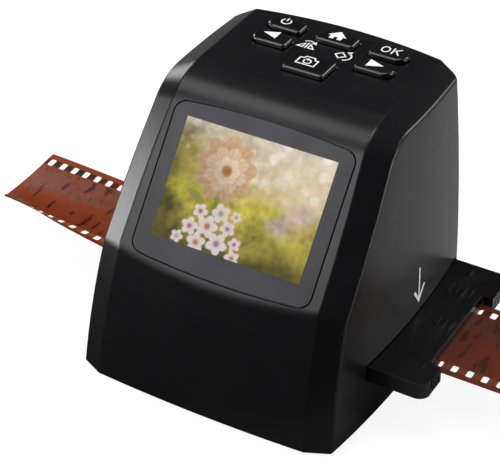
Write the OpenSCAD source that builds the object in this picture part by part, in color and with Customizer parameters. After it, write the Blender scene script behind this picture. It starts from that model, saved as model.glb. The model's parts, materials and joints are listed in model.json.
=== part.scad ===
// Desktop film negative scanner with a film tray that slides through its side walls.
// Frame: X across the front (the tray slides along +X), Y towards the back, Z up.
// The origin is on the table under the middle of the housing.

/* [Housing] */
// Width across the bellies of the side walls at the base
base_w = 91.2; // [84:0.2:98]
// Extra bulge of a side wall at half height
side_bulge = 1.15; // [0:0.05:2]
// Plan radius of the bowed side walls
side_r = 300; // [240:10:500]
// From the origin to the front chamfer corner at the base
front_reach = 45.3; // [42:0.1:50]
// From the tray tunnel to the middle of the bowed back
back_room = 7.3; // [6.5:0.1:12]
// Plan radius of the bowed back
back_r = 147; // [120:1:300]
// Radius of the lower front panel, seen from the side
front_r = 187; // [150:1:400]
// How far the lower front panel bows forward at its middle
front_bow = 1.1; // [0.2:0.1:2]
// Height of the crease between the lower front and the screen face
crease_z = 42.15; // [38:0.1:46]
// How far the crease sits behind the front corner
crease_back = 10.75; // [8:0.1:12]
// Lean of the screen face from vertical
screen_lean = 37.8; // [35:0.1:41]
// Radius of the shoulder between the screen face and the top
shoulder_r = 18; // [15:0.5:20]
// Width of the chamfer strip that runs up both sides of the front
chamfer_w = 7.3; // [6.4:0.1:8.5]
// Depth of the chamfer strip
chamfer_d = 3.4; // [2.8:0.1:4.2]
// Radius of the rear upright corners
corner_r = 3; // [2.6:0.1:4.5]
// Wall of the mouldings
wall = 2; // [1.7:0.1:2.3]
// Clearance round each fixed moulding that fits into another
fit_gap = 0.15; // [0.05:0.05:0.3]

/* [Base] */
// Thickness of the base plate
base_t = 2; // [1.7:0.1:2.6]
// Diameter of a rubber foot
foot_d = 9; // [7:0.5:10]
// How far a foot stands out under the housing
foot_gap = 0.8; // [0.4:0.1:1.5]
// Depth of a foot's recess in the base plate
foot_recess = 1; // [0.5:0.1:1.2]
// From the housing's front and back to the middle of a foot
foot_inset = 10.8; // [9:0.1:13]
// From the housing's belly to the middle of a foot
foot_side = 18.6; // [17:0.1:22]

/* [Screws] */
// Thread diameter of the self-tapping screws
screw_d = 2.2; // [1.8:0.1:2.4]
// Head diameter of the screws
head_d = 4.2; // [3.6:0.1:4.6]
// Head height of the screws
head_h = 1; // [0.8:0.1:1.3]
// Length of the case screws
case_screw_l = 8; // [7:0.5:9]
// Clearance of a screw in its hole, on the diameter
screw_gap = 0.1; // [0.05:0.05:0.3]
// Diameter of the screw bosses
boss_d = 5.6; // [5:0.1:6]

/* [Screen] */
// Width of the picture area of the screen
lcd_w = 48.96; // [46:0.1:52]
// Height of the picture area of the screen
lcd_h = 36.72; // [34:0.1:39]
// Width of the screen window
window_w = 58.4; // [56:0.1:60]
// Height of the screen window at its sides
window_h = 45; // [42:0.1:46]
// How far the top and bottom edges of the window bow outwards
window_bow = 1.6; // [0.5:0.1:1.9]
// How far the window's middle lies below the picture's
window_drop = 1.1; // [0:0.1:1.4]
// Corner radius of the window
window_r = 3.6; // [2:0.1:6]
// Thickness of the window
window_t = 1.2; // [1:0.1:1.4]
// Width of the screen module
module_w = 60.3; // [58:0.1:64]
// Height of the screen module
module_h = 42.7; // [41:0.1:47]
// Thickness of the screen module
module_t = 2.4; // [2:0.1:2.8]
// From the crease to the lower edge of the screen module
screen_low = 2.95; // [2.7:0.05:6]
// How far the screen module reaches under the shoulder
screen_over = 0.85; // [0:0.05:1]
// From the side of the screen module to the chamfer strip
screen_side = 0.95; // [0.8:0.05:3]
// Thickness of the screen bracket
bracket_t = 1.2; // [0.8:0.1:1.5]
// Width of the flat cable from the screen
ribbon_w = 14; // [8:1:20]
// Thickness of the flat cable
ribbon_t = 0.3; // [0.2:0.05:0.4]

/* [Buttons] */
// Width of the four round-ended buttons
side_key_w = 11.8; // [10:0.1:13]
// Front to back size of the buttons in the rear rows
key_l = 6; // [5:0.1:6.8]
// Width of the home button
home_w = 12.6; // [11:0.1:14]
// Width of the capture button
capture_w = 13.4; // [12:0.1:15]
// Front to back size of the capture button
capture_l = 9.6; // [8:0.1:10.6]
// Space between the home button and its neighbours
key_space = 5.1; // [4:0.1:6]
// From the middle of the back to the rear row
row_back = 9.7; // [9:0.1:11]
// Front to back distance between the two rear rows
row_pitch = 9.4; // [8.8:0.1:10.4]
// From the arrow row forwards to the capture button
capture_pitch = 8.3; // [7.5:0.1:9]
// How far the buttons stand above the top
key_proud = 1.5; // [1:0.1:2]
// Travel of a button
key_travel = 0.6; // [0.3:0.1:0.8]
// Clearance round a button in its hole
key_gap = 0.25; // [0.15:0.05:0.4]
// Width of the retaining rim round a button under the top
key_rim = 0.8; // [0.5:0.1:1]
// Width of the shallow pad round the buttons
pad_margin = 2.6; // [2:0.1:3]
// Depth of the shallow pad
pad_depth = 0.2; // [0.1:0.05:0.4]

/* [Film and tray] */
// Width of the film
film_w = 35; // [34:0.1:38]
// Length of the film strip, six frames of 38
film_l = 228; // [190:38:228]
// Thickness of the film
film_t = 0.15; // [0.12:0.01:0.18]
// Pitch of the perforations
perf_pitch = 4.75; // [4.5:0.05:5]
// Clearance above and below the film in its channel
film_gap = 0.1; // [0.05:0.05:0.2]
// Overall length of the film tray
tray_l = 100; // [94:1:108]
// Width of the film tray
tray_w = 60; // [57:0.5:66]
// How far the tray's outer end stands from the origin
tray_reach = 61.5; // [56:0.5:67]
// Front to back place of the tray's middle
tray_y = 7.2; // [6.5:0.1:8]
// Front to back place of the film's middle
film_y = 6; // [5:0.1:8]
// Height of the tray's underside
tray_z = 14.6; // [13.4:0.1:16]
// Thickness of the tray base
tray_base_t = 2.7; // [2.5:0.1:3]
// Thickness of the tray lid
tray_lid_t = 2.7; // [2.5:0.1:3]
// Corner radius of the tray's outer end
tray_r = 3.5; // [2:0.1:5]
// Depth of the finger notch in the tray's end
notch_d = 3.6; // [2.5:0.1:5]
// Running clearance above and below the tray
tray_gap = 0.3; // [0.2:0.05:0.4]
// Clearance of the tray in the housing's slot
slot_gap = 0.5; // [0.4:0.05:0.8]
// Diameter of the tray's hinge pin
hinge_pin_d = 1.6; // [1.2:0.1:1.8]
// Length of one knuckle of the tray's hinge
knuckle_l = 14; // [10:0.5:15.5]
// Width of the picture gate
gate_w = 36.4; // [34:0.1:40]
// Height of the picture gate, across the film
gate_h = 24.4; // [23:0.1:26]
// Height of the raised ridges on the tray's lid
ridge_h = 0.25; // [0.1:0.05:0.3]

/* [Chassis and boards] */
// Thickness of the walls of the tray tunnel
tunnel_t = 1.5; // [1.2:0.1:1.7]
// From an end of the tray tunnel to the housing's wall
tunnel_room = 2.5; // [1:0.1:4]
// Diameter of the legs and posts
post_d = 6; // [5.4:0.1:6.6]
// Thickness of the circuit boards
board_t = 1.6; // [1:0.1:1.8]
// Height from the dark chamber to the sensor board
sensor_drop = 12; // [11:0.5:13.5]
// Diameter of the lens barrel
lens_d = 12; // [10.5:0.5:13.5]

/* [Hidden] */
eps = 0.02;               // overlap that joins two shapes of one solid
big = 200;                // longer than the whole housing
past = 1;                 // how far a cut runs past what it cuts

// ---- places of the buttons ----
tunnel_w = tray_w + 2 * tray_gap;
back_reach = tray_y + tunnel_w / 2 + tunnel_t + back_room;
side_key_x = home_w / 2 + key_space + side_key_w / 2;
rear_row_y = back_reach - row_back;
arrow_row_y = rear_row_y - row_pitch;
capture_y = arrow_row_y - capture_pitch;

// ---- outline of the housing ----
board_slack = 0.4;        // room between a button's rim and a screw boss of the key board
boss_margin = 0.4;        // from that boss to the chamfer strip
keys_half_w = side_key_x + side_key_w / 2 + key_rim + board_slack + boss_d + boss_margin;
flat_half_w = max(module_w / 2 + screen_side, keys_half_w);
top_w = 2 * (flat_half_w + chamfer_w);
face_l = screen_low + module_h - screen_over;
body_h = crease_z + face_l * cos(screen_lean) + shoulder_r * (1 - sin(screen_lean));
belly_y = 3;              // front to back place of the widest point at the base
belly_lean = 0.2;         // how far that point moves back per millimetre of height
edge_z = body_h - chamfer_d;
chord_a = atan2(crease_back, crease_z - foot_gap);
chord_l = norm([crease_back, crease_z - foot_gap]);
arc_half = asin(chord_l / 2 / front_r);
lower_a0 = chord_a - arc_half;
lower_a1 = chord_a + arc_half;
arc_cy = front_r * cos(lower_a0) - front_reach;
arc_cz = foot_gap - front_r * sin(lower_a0);
crease_y = crease_back - front_reach;
face_top_z = crease_z + face_l * cos(screen_lean);
face_top_y = crease_y + face_l * sin(screen_lean);
shoulder_y = face_top_y + shoulder_r * cos(screen_lean);
chamfer_a = atan2(chamfer_d, chamfer_w);

// Side profile of the housing's crest as [y, z, tilt of the outward normal]
lower_n = 6;
shoulder_n = 9;
lower_path = [for (k = [0:lower_n]) let (a = lower_a0 + (lower_a1 - lower_a0) * k / lower_n)
    [arc_cy - front_r * cos(a), arc_cz + front_r * sin(a), a]];
shoulder_path = [for (k = [0:shoulder_n]) let (a = screen_lean + (90 - screen_lean) * k / shoulder_n)
    [shoulder_y - shoulder_r * cos(a), body_h - shoulder_r * (1 - sin(a)), a]];
crease_at = [crease_y, crease_z, screen_lean];
crest_path = concat(lower_path, [crease_at], shoulder_path);

function inward(p, d) = [p[0] + d * cos(p[2]), p[1] - d * sin(p[2])];
function side_x(y, z) = let (s = (z - foot_gap) / (edge_z - foot_gap))
    base_w / 2 + (top_w - base_w) / 2 * s + 4 * side_bulge * s * (1 - s)
    - pow(y - belly_y - belly_lean * z, 2) / (2 * side_r);
function back_y(x) = back_reach - x * x / (2 * back_r);
// Chamfer edges moved inwards by an inset t
function edge_depth(t) = chamfer_d + t * tan(45 - chamfer_a / 2);
function crest_x(p, t) = let (e = inward(p, chamfer_d))
    side_x(e[0], e[1]) - chamfer_w - t * tan(chamfer_a / 2);
function mirror_x(list) = concat(list, [for (p = list) [-p[0], p[1], p[2]]]);

// Front bow: the crease follows where the bowed lower panel meets the flat face
function bow_at(f) = front_bow * (1 - f * f);
function crease_drop(f) = bow_at(f) * cos(lower_a1) / sin(screen_lean - lower_a1);
front_steps = [0, 0.25, 0.5, 0.75, 0.92];
function front_points(t) = [for (f = front_steps, p = lower_path)
    let (q = inward(p, t), x = f * crest_x(p, t))
    if (q[1] < crease_z - crease_drop(0) - 1) [x, q[0] - bow_at(f), q[1]]];
function crease_points(t) = [for (f = front_steps)
    let (q = inward(crease_at, t), d = crease_drop(f))
    [f * crest_x(crease_at, t), q[0] - d * sin(screen_lean), q[1] - d * cos(screen_lean)]];
function crest_points(t) = [for (p = crest_path) let (q = inward(p, t)) [crest_x(p, t), q[0], q[1]]];
function edge_points(t, z0) = [for (p = crest_path) let (q = inward(p, edge_depth(t)))
    [side_x(q[0], q[1]) - t, q[0], max(q[1], z0)]];
// The chamfer edge's y for a height, for the sections of the side walls
function edge_table(t) = [for (p = crest_path) let (q = inward(p, edge_depth(t))) [q[1], q[0]]];
section_n = 10;
side_n = 7;
corner_step = 18;
rear_steps = [0, 0.25, 0.5, 0.72, 0.9];
function section_points(t, z0) = [for (k = [0:section_n])
    let (z1 = body_h - edge_depth(t) - eps, z = z0 + (z1 - z0) * k / section_n,
        ya = lookup(z, edge_table(t)), r = corner_r - min(t, corner_r - 1),
        xc = side_x(back_y(top_w / 2) - corner_r, z) - t - r, yc = back_y(xc) - t - r,
        flank = [for (j = [0:side_n]) let (y = ya + (yc - ya) * j / side_n) [side_x(y, z) - t, y, z]],
        corner = [for (a = [0:corner_step:90]) [xc + r * cos(a), yc + r * sin(a), z]],
        rear = [for (f = rear_steps) [f * xc, back_y(f * xc) - t, z]])
    each concat(flank, corner, rear)];
function top_back_points(t) = [for (f = [0:0.2:1])
    let (x = f * (flat_half_w - t * tan(chamfer_a / 2))) [x, back_y(x) - t, body_h - t]];
function lowest_points(t, z0) = z0 >= foot_gap ? [] : [for (f = front_steps)
    let (p = lower_path[0], q = inward(p, t)) [f * crest_x(p, t), q[0] - bow_at(f), z0]];

// The housing's form, all round inset by t and standing on height z0
module form(t = 0, z0 = foot_gap) {
    pts = mirror_x(concat(front_points(t), crease_points(t), crest_points(t), edge_points(t, z0),
        section_points(t, z0), top_back_points(t), lowest_points(t, z0)));
    hull() polyhedron(points = pts, faces = [[for (i = [0:len(pts) - 1]) i]]);
}

// ---- stack of heights, from the table up and from the top down ----
floor_z = foot_gap + base_t;
split_z = tray_z + tray_base_t;
tray_top_z = split_z + tray_lid_t;
film_z = split_z - film_t - film_gap;
tunnel_z0 = tray_z - tray_gap - tunnel_t;
tunnel_z1 = tray_top_z + tray_gap + tunnel_t;
ceiling_z = body_h - wall;
rim_t = 0.85;             // thickness of a button's retaining rim
ceiling_gap = 0.15;       // gap between the rim and the housing's top
stem_d = 3.6;             // diameter of a button's stem
stem_l = 0.6;             // length of a button's stem below the rim
press_gap = 0.1;          // gap left between a pressed stem and its dome
membrane_t = 0.6;         // thickness of the rubber sheet
dome_d = 5.6;             // diameter of a rubber dome
dome_h = 1;               // height of a rubber dome above the sheet
dome_t = 0.6;             // thickness of a dome's top
socket_room = 9.4;        // from the main board's top to the key board
rim_z = ceiling_z - ceiling_gap - rim_t;
stem_z = rim_z - stem_l;
membrane_z = stem_z - key_travel - press_gap - dome_h - membrane_t;
key_board_z = membrane_z - board_t;
deck_z = key_board_z - socket_room;
main_z = deck_z - board_t;
sensor_room = 2.2;        // from the sensor board up to the main board
sensor_z = main_z - sensor_room - board_t;
chamber_top_z = sensor_z - sensor_drop;
chamber_h = chamber_top_z - tunnel_z1;

// ---- frame of the screen face: x across, y up the slope, z outwards ----
face_mid_v = screen_low + module_h / 2;
face_y = crease_y + face_mid_v * sin(screen_lean);
face_z = crease_z + face_mid_v * cos(screen_lean);
screen_gap = 0.1;         // gap between the screen module and the housing
panel_n = wall + screen_gap + module_t;
module on_face() {
    translate([0, face_y, face_z]) rotate([90 - screen_lean, 0, 0]) children();
}

// ---- shared 2D shapes ----
module rounded(w, l, r) {
    for (x = [-1, 1], y = [-1, 1]) translate([x * (w / 2 - r), y * (l / 2 - r)]) circle(r, $fn = 40);
    square([w - 2 * r, l], center = true);
    square([w, l - 2 * r], center = true);
}
module rounded_box(w, l, r, h) {
    linear_extrude(h) rounded(w, l, r);
}
// Window outline: straight sides, bowed top and bottom, rounded corners, grown by g
module window_shape(g = 0) {
    hw = window_w / 2 + g;
    hh = window_h / 2 + g;
    bow_r = (pow(hw, 2) + pow(window_bow, 2)) / (2 * window_bow);
    bow_y = hh + window_bow - bow_r;
    r = window_r + g;
    // the corner's circle touches both the straight side and the bow
    cy = bow_y + sqrt(pow(bow_r - r, 2) - pow(hw - r, 2));
    a0 = atan2(cy - bow_y, hw - r);
    corner = [for (k = [0:10]) [hw - r + r * cos(a0 * k / 10), cy + r * sin(a0 * k / 10)]];
    bow = [for (k = [1:12]) let (a = a0 + (90 - a0) * k / 12) [bow_r * cos(a), bow_y + bow_r * sin(a)]];
    quarter = concat(corner, bow);
    half = concat([for (k = [len(quarter) - 1:-1:0]) [quarter[k][0], -quarter[k][1]]], quarter);
    polygon(concat(half, [for (k = [len(half) - 2:-1:1]) [-half[k][0], half[k][1]]]));
}
// Button outline: end = -1 or 1 rounds that end fully, 0 keeps both square
key_r = 1;
module key_shape(w, l, end = 0, g = 0) {
    r = key_r + g;
    hw = w / 2 + g;
    hl = l / 2 + g;
    if (end == 0) rounded(2 * hw, 2 * hl, r);
    if (end != 0) translate([end * (hw - hl), 0]) circle(hl, $fn = 64);
    if (end != 0) translate([-end * hl / 2, 0]) rounded(2 * hw - hl, 2 * hl, r);
    if (end != 0) translate([end * (hw - hl) / 2, 0]) square([hw - hl, 2 * hl], center = true);
}
// Each button as [x, y, width, length, rounded end]
power_key = [-side_key_x, rear_row_y, side_key_w, key_l, -1];
home_key = [0, rear_row_y, home_w, key_l, 0];
ok_key = [side_key_x, rear_row_y, side_key_w, key_l, 1];
left_key = [-side_key_x, arrow_row_y, side_key_w, key_l, -1];
right_key = [side_key_x, arrow_row_y, side_key_w, key_l, 1];
capture_key = [0, capture_y, capture_w, capture_l, 0];
keys = [power_key, home_key, ok_key, left_key, right_key, capture_key];
module key_outline(k, g = 0) {
    translate([k[0], k[1]]) key_shape(k[2], k[3], k[4], g);
}
// The shallow pad round the buttons: wide at the two rear rows, narrow at the capture button
module pad_shape() {
    wide_l = row_pitch + key_l + 2 * pad_margin;
    translate([0, (rear_row_y + arrow_row_y) / 2])
        rounded(2 * side_key_x + side_key_w + 2 * pad_margin, wide_l, key_l / 2 + pad_margin);
    translate([0, capture_y + pad_margin])
        rounded(capture_w + 2 * pad_margin, capture_l + 4 * pad_margin, key_r + pad_margin);
}

// ---- places of the fasteners ----
front_screw_inset = 16.3; // from the front corner to the front base screws
rear_screw_inset = 11.8;  // from the back to the rear base screws
wall_to_screw = 5.4;      // from the housing's wall to a base screw
screw_to_leg = 4.4;       // sideways distance from a base screw to a leg
leg_inset = 7.5;          // from the tray's front and rear edges to a leg
front_screw_y = front_screw_inset - front_reach;
base_screw_x = side_x(front_screw_y, floor_z) - wall - wall_to_screw;
leg_x = base_screw_x - screw_to_leg;
foot_x = base_w / 2 - foot_side;
base_screw_at = [for (x = [-1, 1], y = [front_screw_y, back_reach - rear_screw_inset])
    [x * base_screw_x, y]];
leg_at = [for (x = [-1, 1], y = [-1, 1]) [x * leg_x, tray_y + y * (tray_w / 2 - leg_inset)]];
foot_at = [for (x = [-1, 1], y = [foot_inset - front_reach, back_reach - foot_inset])
    [x * foot_x, y]];
boss_clear = 0.6;         // gap between a base screw's boss and the tunnel
boss_top_z = tunnel_z0 - boss_clear;
bore_d = screw_d + screw_gap;
hole_d = bore_d + 0.3;    // clearance hole for a screw's shank
web_t = 1.2;              // web between a boss and the housing's wall
bore_past = 0.5;          // solid left over the blind end of a bore

// A pan-head screw whose head sits on z = 0 and whose shaft points up
module screw_up(l) {
    translate([0, 0, -head_h]) cylinder(d = head_d, h = head_h, $fn = 40);
    cylinder(d = screw_d, h = l, $fn = 32);
}
// A hole on each of the places, from z up by h
module drill(places, d, z, h) {
    for (p = places) translate([p[0], p[1], z]) cylinder(d = d, h = h, $fn = 32);
}
module posts(places, d, z, h) {
    for (p = places) translate([p[0], p[1], z]) cylinder(d = d, h = h, $fn = 40);
}

// ---- housing ----
module slot_cut() {
    translate([-big / 2, tray_y - tray_w / 2 - slot_gap, tray_z - slot_gap])
        cube([big, tray_w + 2 * slot_gap, tray_base_t + tray_lid_t + 2 * slot_gap]);
}
cover_low = 3;            // from the base plate to the back opening
cover_high = 9;           // from the back opening to the top
cover_side = 1.5;         // from the back opening to the round of the corner
cover_depth = 12.3;       // how deep the back opening is cut
back_open_z0 = floor_z + cover_low;
back_open_z1 = body_h - cover_high;
// The back opening, moved inwards by g
module back_prism(g = 0) {
    z = [back_open_z0, back_open_z1];
    w = [for (h = z) side_x(back_reach, h) - corner_r - wall - cover_side - g];
    translate([0, back_reach + past, 0]) rotate([90, 0, 0]) linear_extrude(cover_depth + past)
        polygon([[-w[0], z[0] + g], [w[0], z[0] + g], [w[1], z[1] - g], [-w[1], z[1] - g]]);
}
lcd_boss_x = lcd_w / 2;
lcd_boss_v = (module_h + boss_d) / 2;
lcd_boss_at = [for (x = [-1, 1], v = [-1, 1]) [x * lcd_boss_x, v * lcd_boss_v]];
key_boss_x = flat_half_w - boss_margin - boss_d / 2;
key_boss_front = 4.4;     // from the middle of the capture button forwards to the front bosses
key_boss_at = [for (x = [-1, 1], y = [capture_y - key_boss_front, rear_row_y - row_back / 9])
    [x * key_boss_x, y]];
module hood_bosses() {
    posts(base_screw_at, boss_d, floor_z, boss_top_z - floor_z);
    for (p = base_screw_at, reach = side_x(p[1], boss_top_z) - wall / 2 - abs(p[0]))
        translate([p[0] > 0 ? p[0] : p[0] - reach, p[1] - web_t / 2, floor_z])
            cube([reach, web_t, boss_top_z - floor_z]);
    posts(key_boss_at, boss_d, membrane_z, body_h - wall / 2 - membrane_z);
    on_face() posts(lcd_boss_at, boss_d, -panel_n, panel_n - (wall + window_t) / 2);
}
lcd_rim = 0.7;            // clearance round the picture area in the housing
module hood() color("#2b2a2c") {
    difference() {
        union() {
            difference() {
                form();
                form(wall, foot_gap - past);
                back_prism();
                slot_cut();
                on_face() translate([0, -window_drop, -window_t]) linear_extrude(big) window_shape(fit_gap);
                on_face() translate([0, 0, -wall - past])
                    rounded_box(lcd_w + 2 * lcd_rim, lcd_h + 2 * lcd_rim, lcd_rim, wall + 2 * past);
                translate([0, 0, ceiling_z - past]) linear_extrude(big)
                    for (k = keys) key_outline(k, key_gap);
                translate([0, 0, body_h - pad_depth]) linear_extrude(big) pad_shape();
            }
            hood_bosses();
        }
        drill(base_screw_at, bore_d, floor_z - past, boss_top_z - floor_z + past - bore_past);
        drill(key_boss_at, bore_d, membrane_z - past, ceiling_z - membrane_z + past);
        on_face() drill(lcd_boss_at, bore_d, -panel_n - past, panel_n + past - wall + bore_past / 2);
    }
}

// ---- back cover with the openings of the sockets ----
card_w = 26;              // memory card socket
card_l = 28;
card_h = 2.8;
usb_w = 7.8;              // USB socket
usb_l = 5.6;
usb_h = 2.9;
jack_w = 7.4;             // video jack
jack_l = 12;
jack_h = 5.2;
jack_bore = 3.6;
side_socket_x = 22.5;     // sideways place of the USB socket and the video jack
socket_gap = 0.4;         // between a socket's mouth and the back cover
card_lip = 1;             // how far the card opening is narrower than its socket, each side
mouth_gap = 0.6;          // clearance round a socket's mouth in the back cover
tab_w = 9;                // snap tabs of the back cover
tab_t = 1.5;
tab_root = 3.2;
tab_catch = 2.2;
top_tab_x = 11;
low_tab_x = 20;
function behind(x) = back_y(x) - wall - socket_gap;
card_y = behind(card_w / 2);
usb_y = behind(side_socket_x + usb_w / 2);
jack_y = behind(side_socket_x + jack_w / 2);
// A tab that catches behind the housing's edge at height z; up = 1 at the top, -1 at the bottom
module cover_tab(x, z, up) {
    y = back_y(abs(x) + tab_w / 2) - wall - fit_gap - tab_t;
    low = up > 0 ? z - tab_root : z - tab_catch;
    translate([x - tab_w / 2, y, low]) cube([tab_w, tab_t, tab_root + tab_catch]);
    translate([x - tab_w / 2, y, up > 0 ? low : z + fit_gap]) cube([tab_w, 2 * tab_t, tab_root - fit_gap]);
}
module back_cover() color("#29282a") {
    difference() {
        union() {
            intersection() {
                difference() {
                    form();
                    form(wall, foot_gap - past);
                }
                back_prism(fit_gap);
            }
            for (side = [-1, 1]) {
                cover_tab(side * top_tab_x, back_open_z1, 1);
                cover_tab(side * low_tab_x, back_open_z0, -1);
            }
        }
        translate([card_lip - card_w / 2, card_y, deck_z])
            cube([card_w - 2 * card_lip, big, card_h + mouth_gap]);
        translate([side_socket_x - usb_w / 2 - mouth_gap, usb_y - past, deck_z - mouth_gap])
            cube([usb_w + 2 * mouth_gap, big, usb_h + 2 * mouth_gap]);
        translate([-side_socket_x, jack_y - past, deck_z + jack_h / 2]) rotate([-90, 0, 0])
            cylinder(d = jack_h + 2 * mouth_gap, h = big, $fn = 40);
    }
}

// ---- base plate, feet and screws ----
box_margin = 6.8;         // from the picture gate to the outside of the light box
box_t = 1.5;              // wall of the light box
box_w = gate_w + 2 * box_margin;
box_l = gate_h + 2 * box_margin;
curb_t = 1.65;            // curb on the base plate round the light box
curb_h = 2;
module base_plate() color("#242426") {
    difference() {
        union() {
            intersection() {
                form(wall + fit_gap, foot_gap - past);
                translate([-big / 2, -big / 2, foot_gap]) cube([big, big, base_t]);
            }
            translate([0, film_y, floor_z - eps]) difference() {
                rounded_box(box_w + 2 * (fit_gap + curb_t), box_l + 2 * (fit_gap + curb_t), 2, curb_h);
                translate([0, 0, -past])
                    rounded_box(box_w + 2 * fit_gap, box_l + 2 * fit_gap, 1, curb_h + 2 * past);
            }
        }
        drill(foot_at, foot_d + 2 * fit_gap, foot_gap - past, foot_recess + past);
        drill(concat(base_screw_at, leg_at), hole_d, foot_gap - past, base_t + 2 * past);
        drill(concat(base_screw_at, leg_at), head_d + 2 * fit_gap, foot_gap - past, head_h + past);
    }
}
foot_edge = 0.4;          // height and depth of the step round a foot
module rubber_feet() color("#161616") {
    posts(foot_at, foot_d - 2 * foot_edge, 0, foot_edge + eps);
    posts(foot_at, foot_d, foot_edge, foot_gap + foot_recess - foot_edge);
}
module base_screws() color("#8d9094") {
    for (p = base_screw_at) translate([p[0], p[1], foot_gap + head_h]) screw_up(case_screw_l);
}

// ---- screen ----
module screen_window() color("#3c3b42") {
    on_face() translate([0, -window_drop, -window_t]) linear_extrude(window_t) window_shape();
}
module lcd_panel() color("#c9c7a0") {
    on_face() {
        translate([-module_w / 2, -module_h / 2, -panel_n]) cube([module_w, module_h, module_t]);
        translate([-lcd_w / 2, -lcd_h / 2, -wall - screen_gap - eps])
            cube([lcd_w, lcd_h, wall - window_t + eps]);
    }
}
bracket_frame_w = 8;      // width of the bracket's frame at its sides
bracket_frame_l = 7;      // width of the bracket's frame at its top and bottom
module lcd_bracket() color("#7f8285") {
    on_face() translate([0, 0, -panel_n - bracket_t]) difference() {
        union() {
            rounded_box(module_w, module_h, key_r, bracket_t);
            posts(lcd_boss_at, boss_d, 0, bracket_t);
            for (p = lcd_boss_at) translate([p[0] - boss_d / 2, p[1] > 0 ? p[1] - boss_d : p[1], 0])
                cube([boss_d, boss_d, bracket_t]);
        }
        translate([0, 0, -past]) rounded_box(module_w - 2 * bracket_frame_w,
            module_h - 2 * bracket_frame_l, 2 * key_r, bracket_t + 2 * past);
        drill(lcd_boss_at, hole_d, -past, bracket_t + 2 * past);
    }
}
module lcd_screws() color("#8d9094") {
    on_face() for (p = lcd_boss_at)
        translate([p[0], p[1], -panel_n - bracket_t]) screw_up(bracket_t + module_t);
}
// The flat cable leaves the back of the screen, bends back and lies under the main board
ribbon_bend = 8;          // radius of the cable's bend
ribbon_seat = 9;          // from the module's lower edge to where the cable leaves it
ribbon_end_y = 2;         // front to back place of the cable's end
ribbon_n = 8;             // steps round the bend
function on_slope(v, n) = [face_y + v * sin(screen_lean) + n * cos(screen_lean),
    face_z + v * cos(screen_lean) - n * sin(screen_lean)];
module ribbon_profile() {
    z_run = main_z - ribbon_t;
    // centre of the bend, where the cable turns from the slope to level under the board
    aside = on_slope(0, panel_n + ribbon_t + ribbon_bend);
    c = [aside[0] + (z_run - ribbon_bend - aside[1]) * tan(screen_lean), z_run - ribbon_bend];
    arc = [for (k = [0:ribbon_n]) let (a = 90 + (90 - screen_lean) * k / ribbon_n) [cos(a), sin(a)]];
    start = on_slope(ribbon_seat - module_h / 2, panel_n);
    start_in = on_slope(ribbon_seat - module_h / 2, panel_n + ribbon_t);
    polygon(concat([[ribbon_end_y, main_z], [ribbon_end_y, z_run]],
        [for (p = arc) c + p * ribbon_bend], [start_in, start],
        [for (k = [ribbon_n:-1:0]) c + arc[k] * (ribbon_bend + ribbon_t)]));
}
module lcd_ribbon() color("#b98a3a") {
    translate([-ribbon_w / 2, 0, 0]) rotate([90, 0, 90]) linear_extrude(ribbon_w) ribbon_profile();
}

// ---- buttons ----
module key(k) {
    translate([0, 0, rim_z]) linear_extrude(body_h + key_proud - rim_z) key_outline(k);
    translate([0, 0, rim_z]) linear_extrude(rim_t) key_outline(k, key_rim);
    translate([k[0], k[1], stem_z]) cylinder(d = stem_d, h = stem_l + eps, $fn = 36);
}
module power_button() color("#1b1a1c") key(power_key);
module home_button() color("#1b1a1c") key(home_key);
module ok_button() color("#1b1a1c") key(ok_key);
module left_button() color("#1b1a1c") key(left_key);
module right_button() color("#1b1a1c") key(right_key);
module capture_button() color("#1b1a1c") key(capture_key);

sheet_edge = 1.3;         // how far the rubber sheet reaches past the outer domes
key_sheet_w = 2 * side_key_x + dome_d + 2 * sheet_edge;
key_sheet_y = [capture_y - dome_d / 2 - sheet_edge, rear_row_y + dome_d / 2];
module key_membrane() color("#6d6f72") {
    difference() {
        union() {
            translate([-key_sheet_w / 2, key_sheet_y[0], membrane_z])
                cube([key_sheet_w, key_sheet_y[1] - key_sheet_y[0], membrane_t]);
            posts(keys, dome_d, membrane_z, membrane_t + dome_h);
        }
        drill(keys, dome_d - 2 * dome_t, membrane_z - past, past + membrane_t + dome_h - dome_t);
    }
}
board_edge = 3;           // from a screw hole to the edge of its board
rear_edge = 1.2;          // from a rear screw hole to the rear edge of the key board
module key_board() color("#2f6b3c") {
    y0 = key_boss_at[0][1] - board_edge;
    y1 = key_boss_at[1][1] + board_edge + rear_edge;
    difference() {
        translate([-key_boss_x - board_edge, y0, key_board_z])
            cube([2 * (key_boss_x + board_edge), y1 - y0, board_t]);
        drill(key_boss_at, hole_d, key_board_z - past, board_t + 2 * past);
    }
}
disc_h = 0.3;             // height of a contact disc
module key_domes() color("#b9bcc0") {
    for (k = keys) translate([k[0], k[1], membrane_z])
        cylinder(d1 = dome_d - 3 * dome_t, d2 = dome_d / 2, h = disc_h, $fn = 36);
}
board_bite = 2.6;         // how far a board screw reaches into its boss
module key_board_screws() color("#8d9094") {
    for (p = key_boss_at) translate([p[0], p[1], key_board_z]) screw_up(board_t + board_bite);
}

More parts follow.
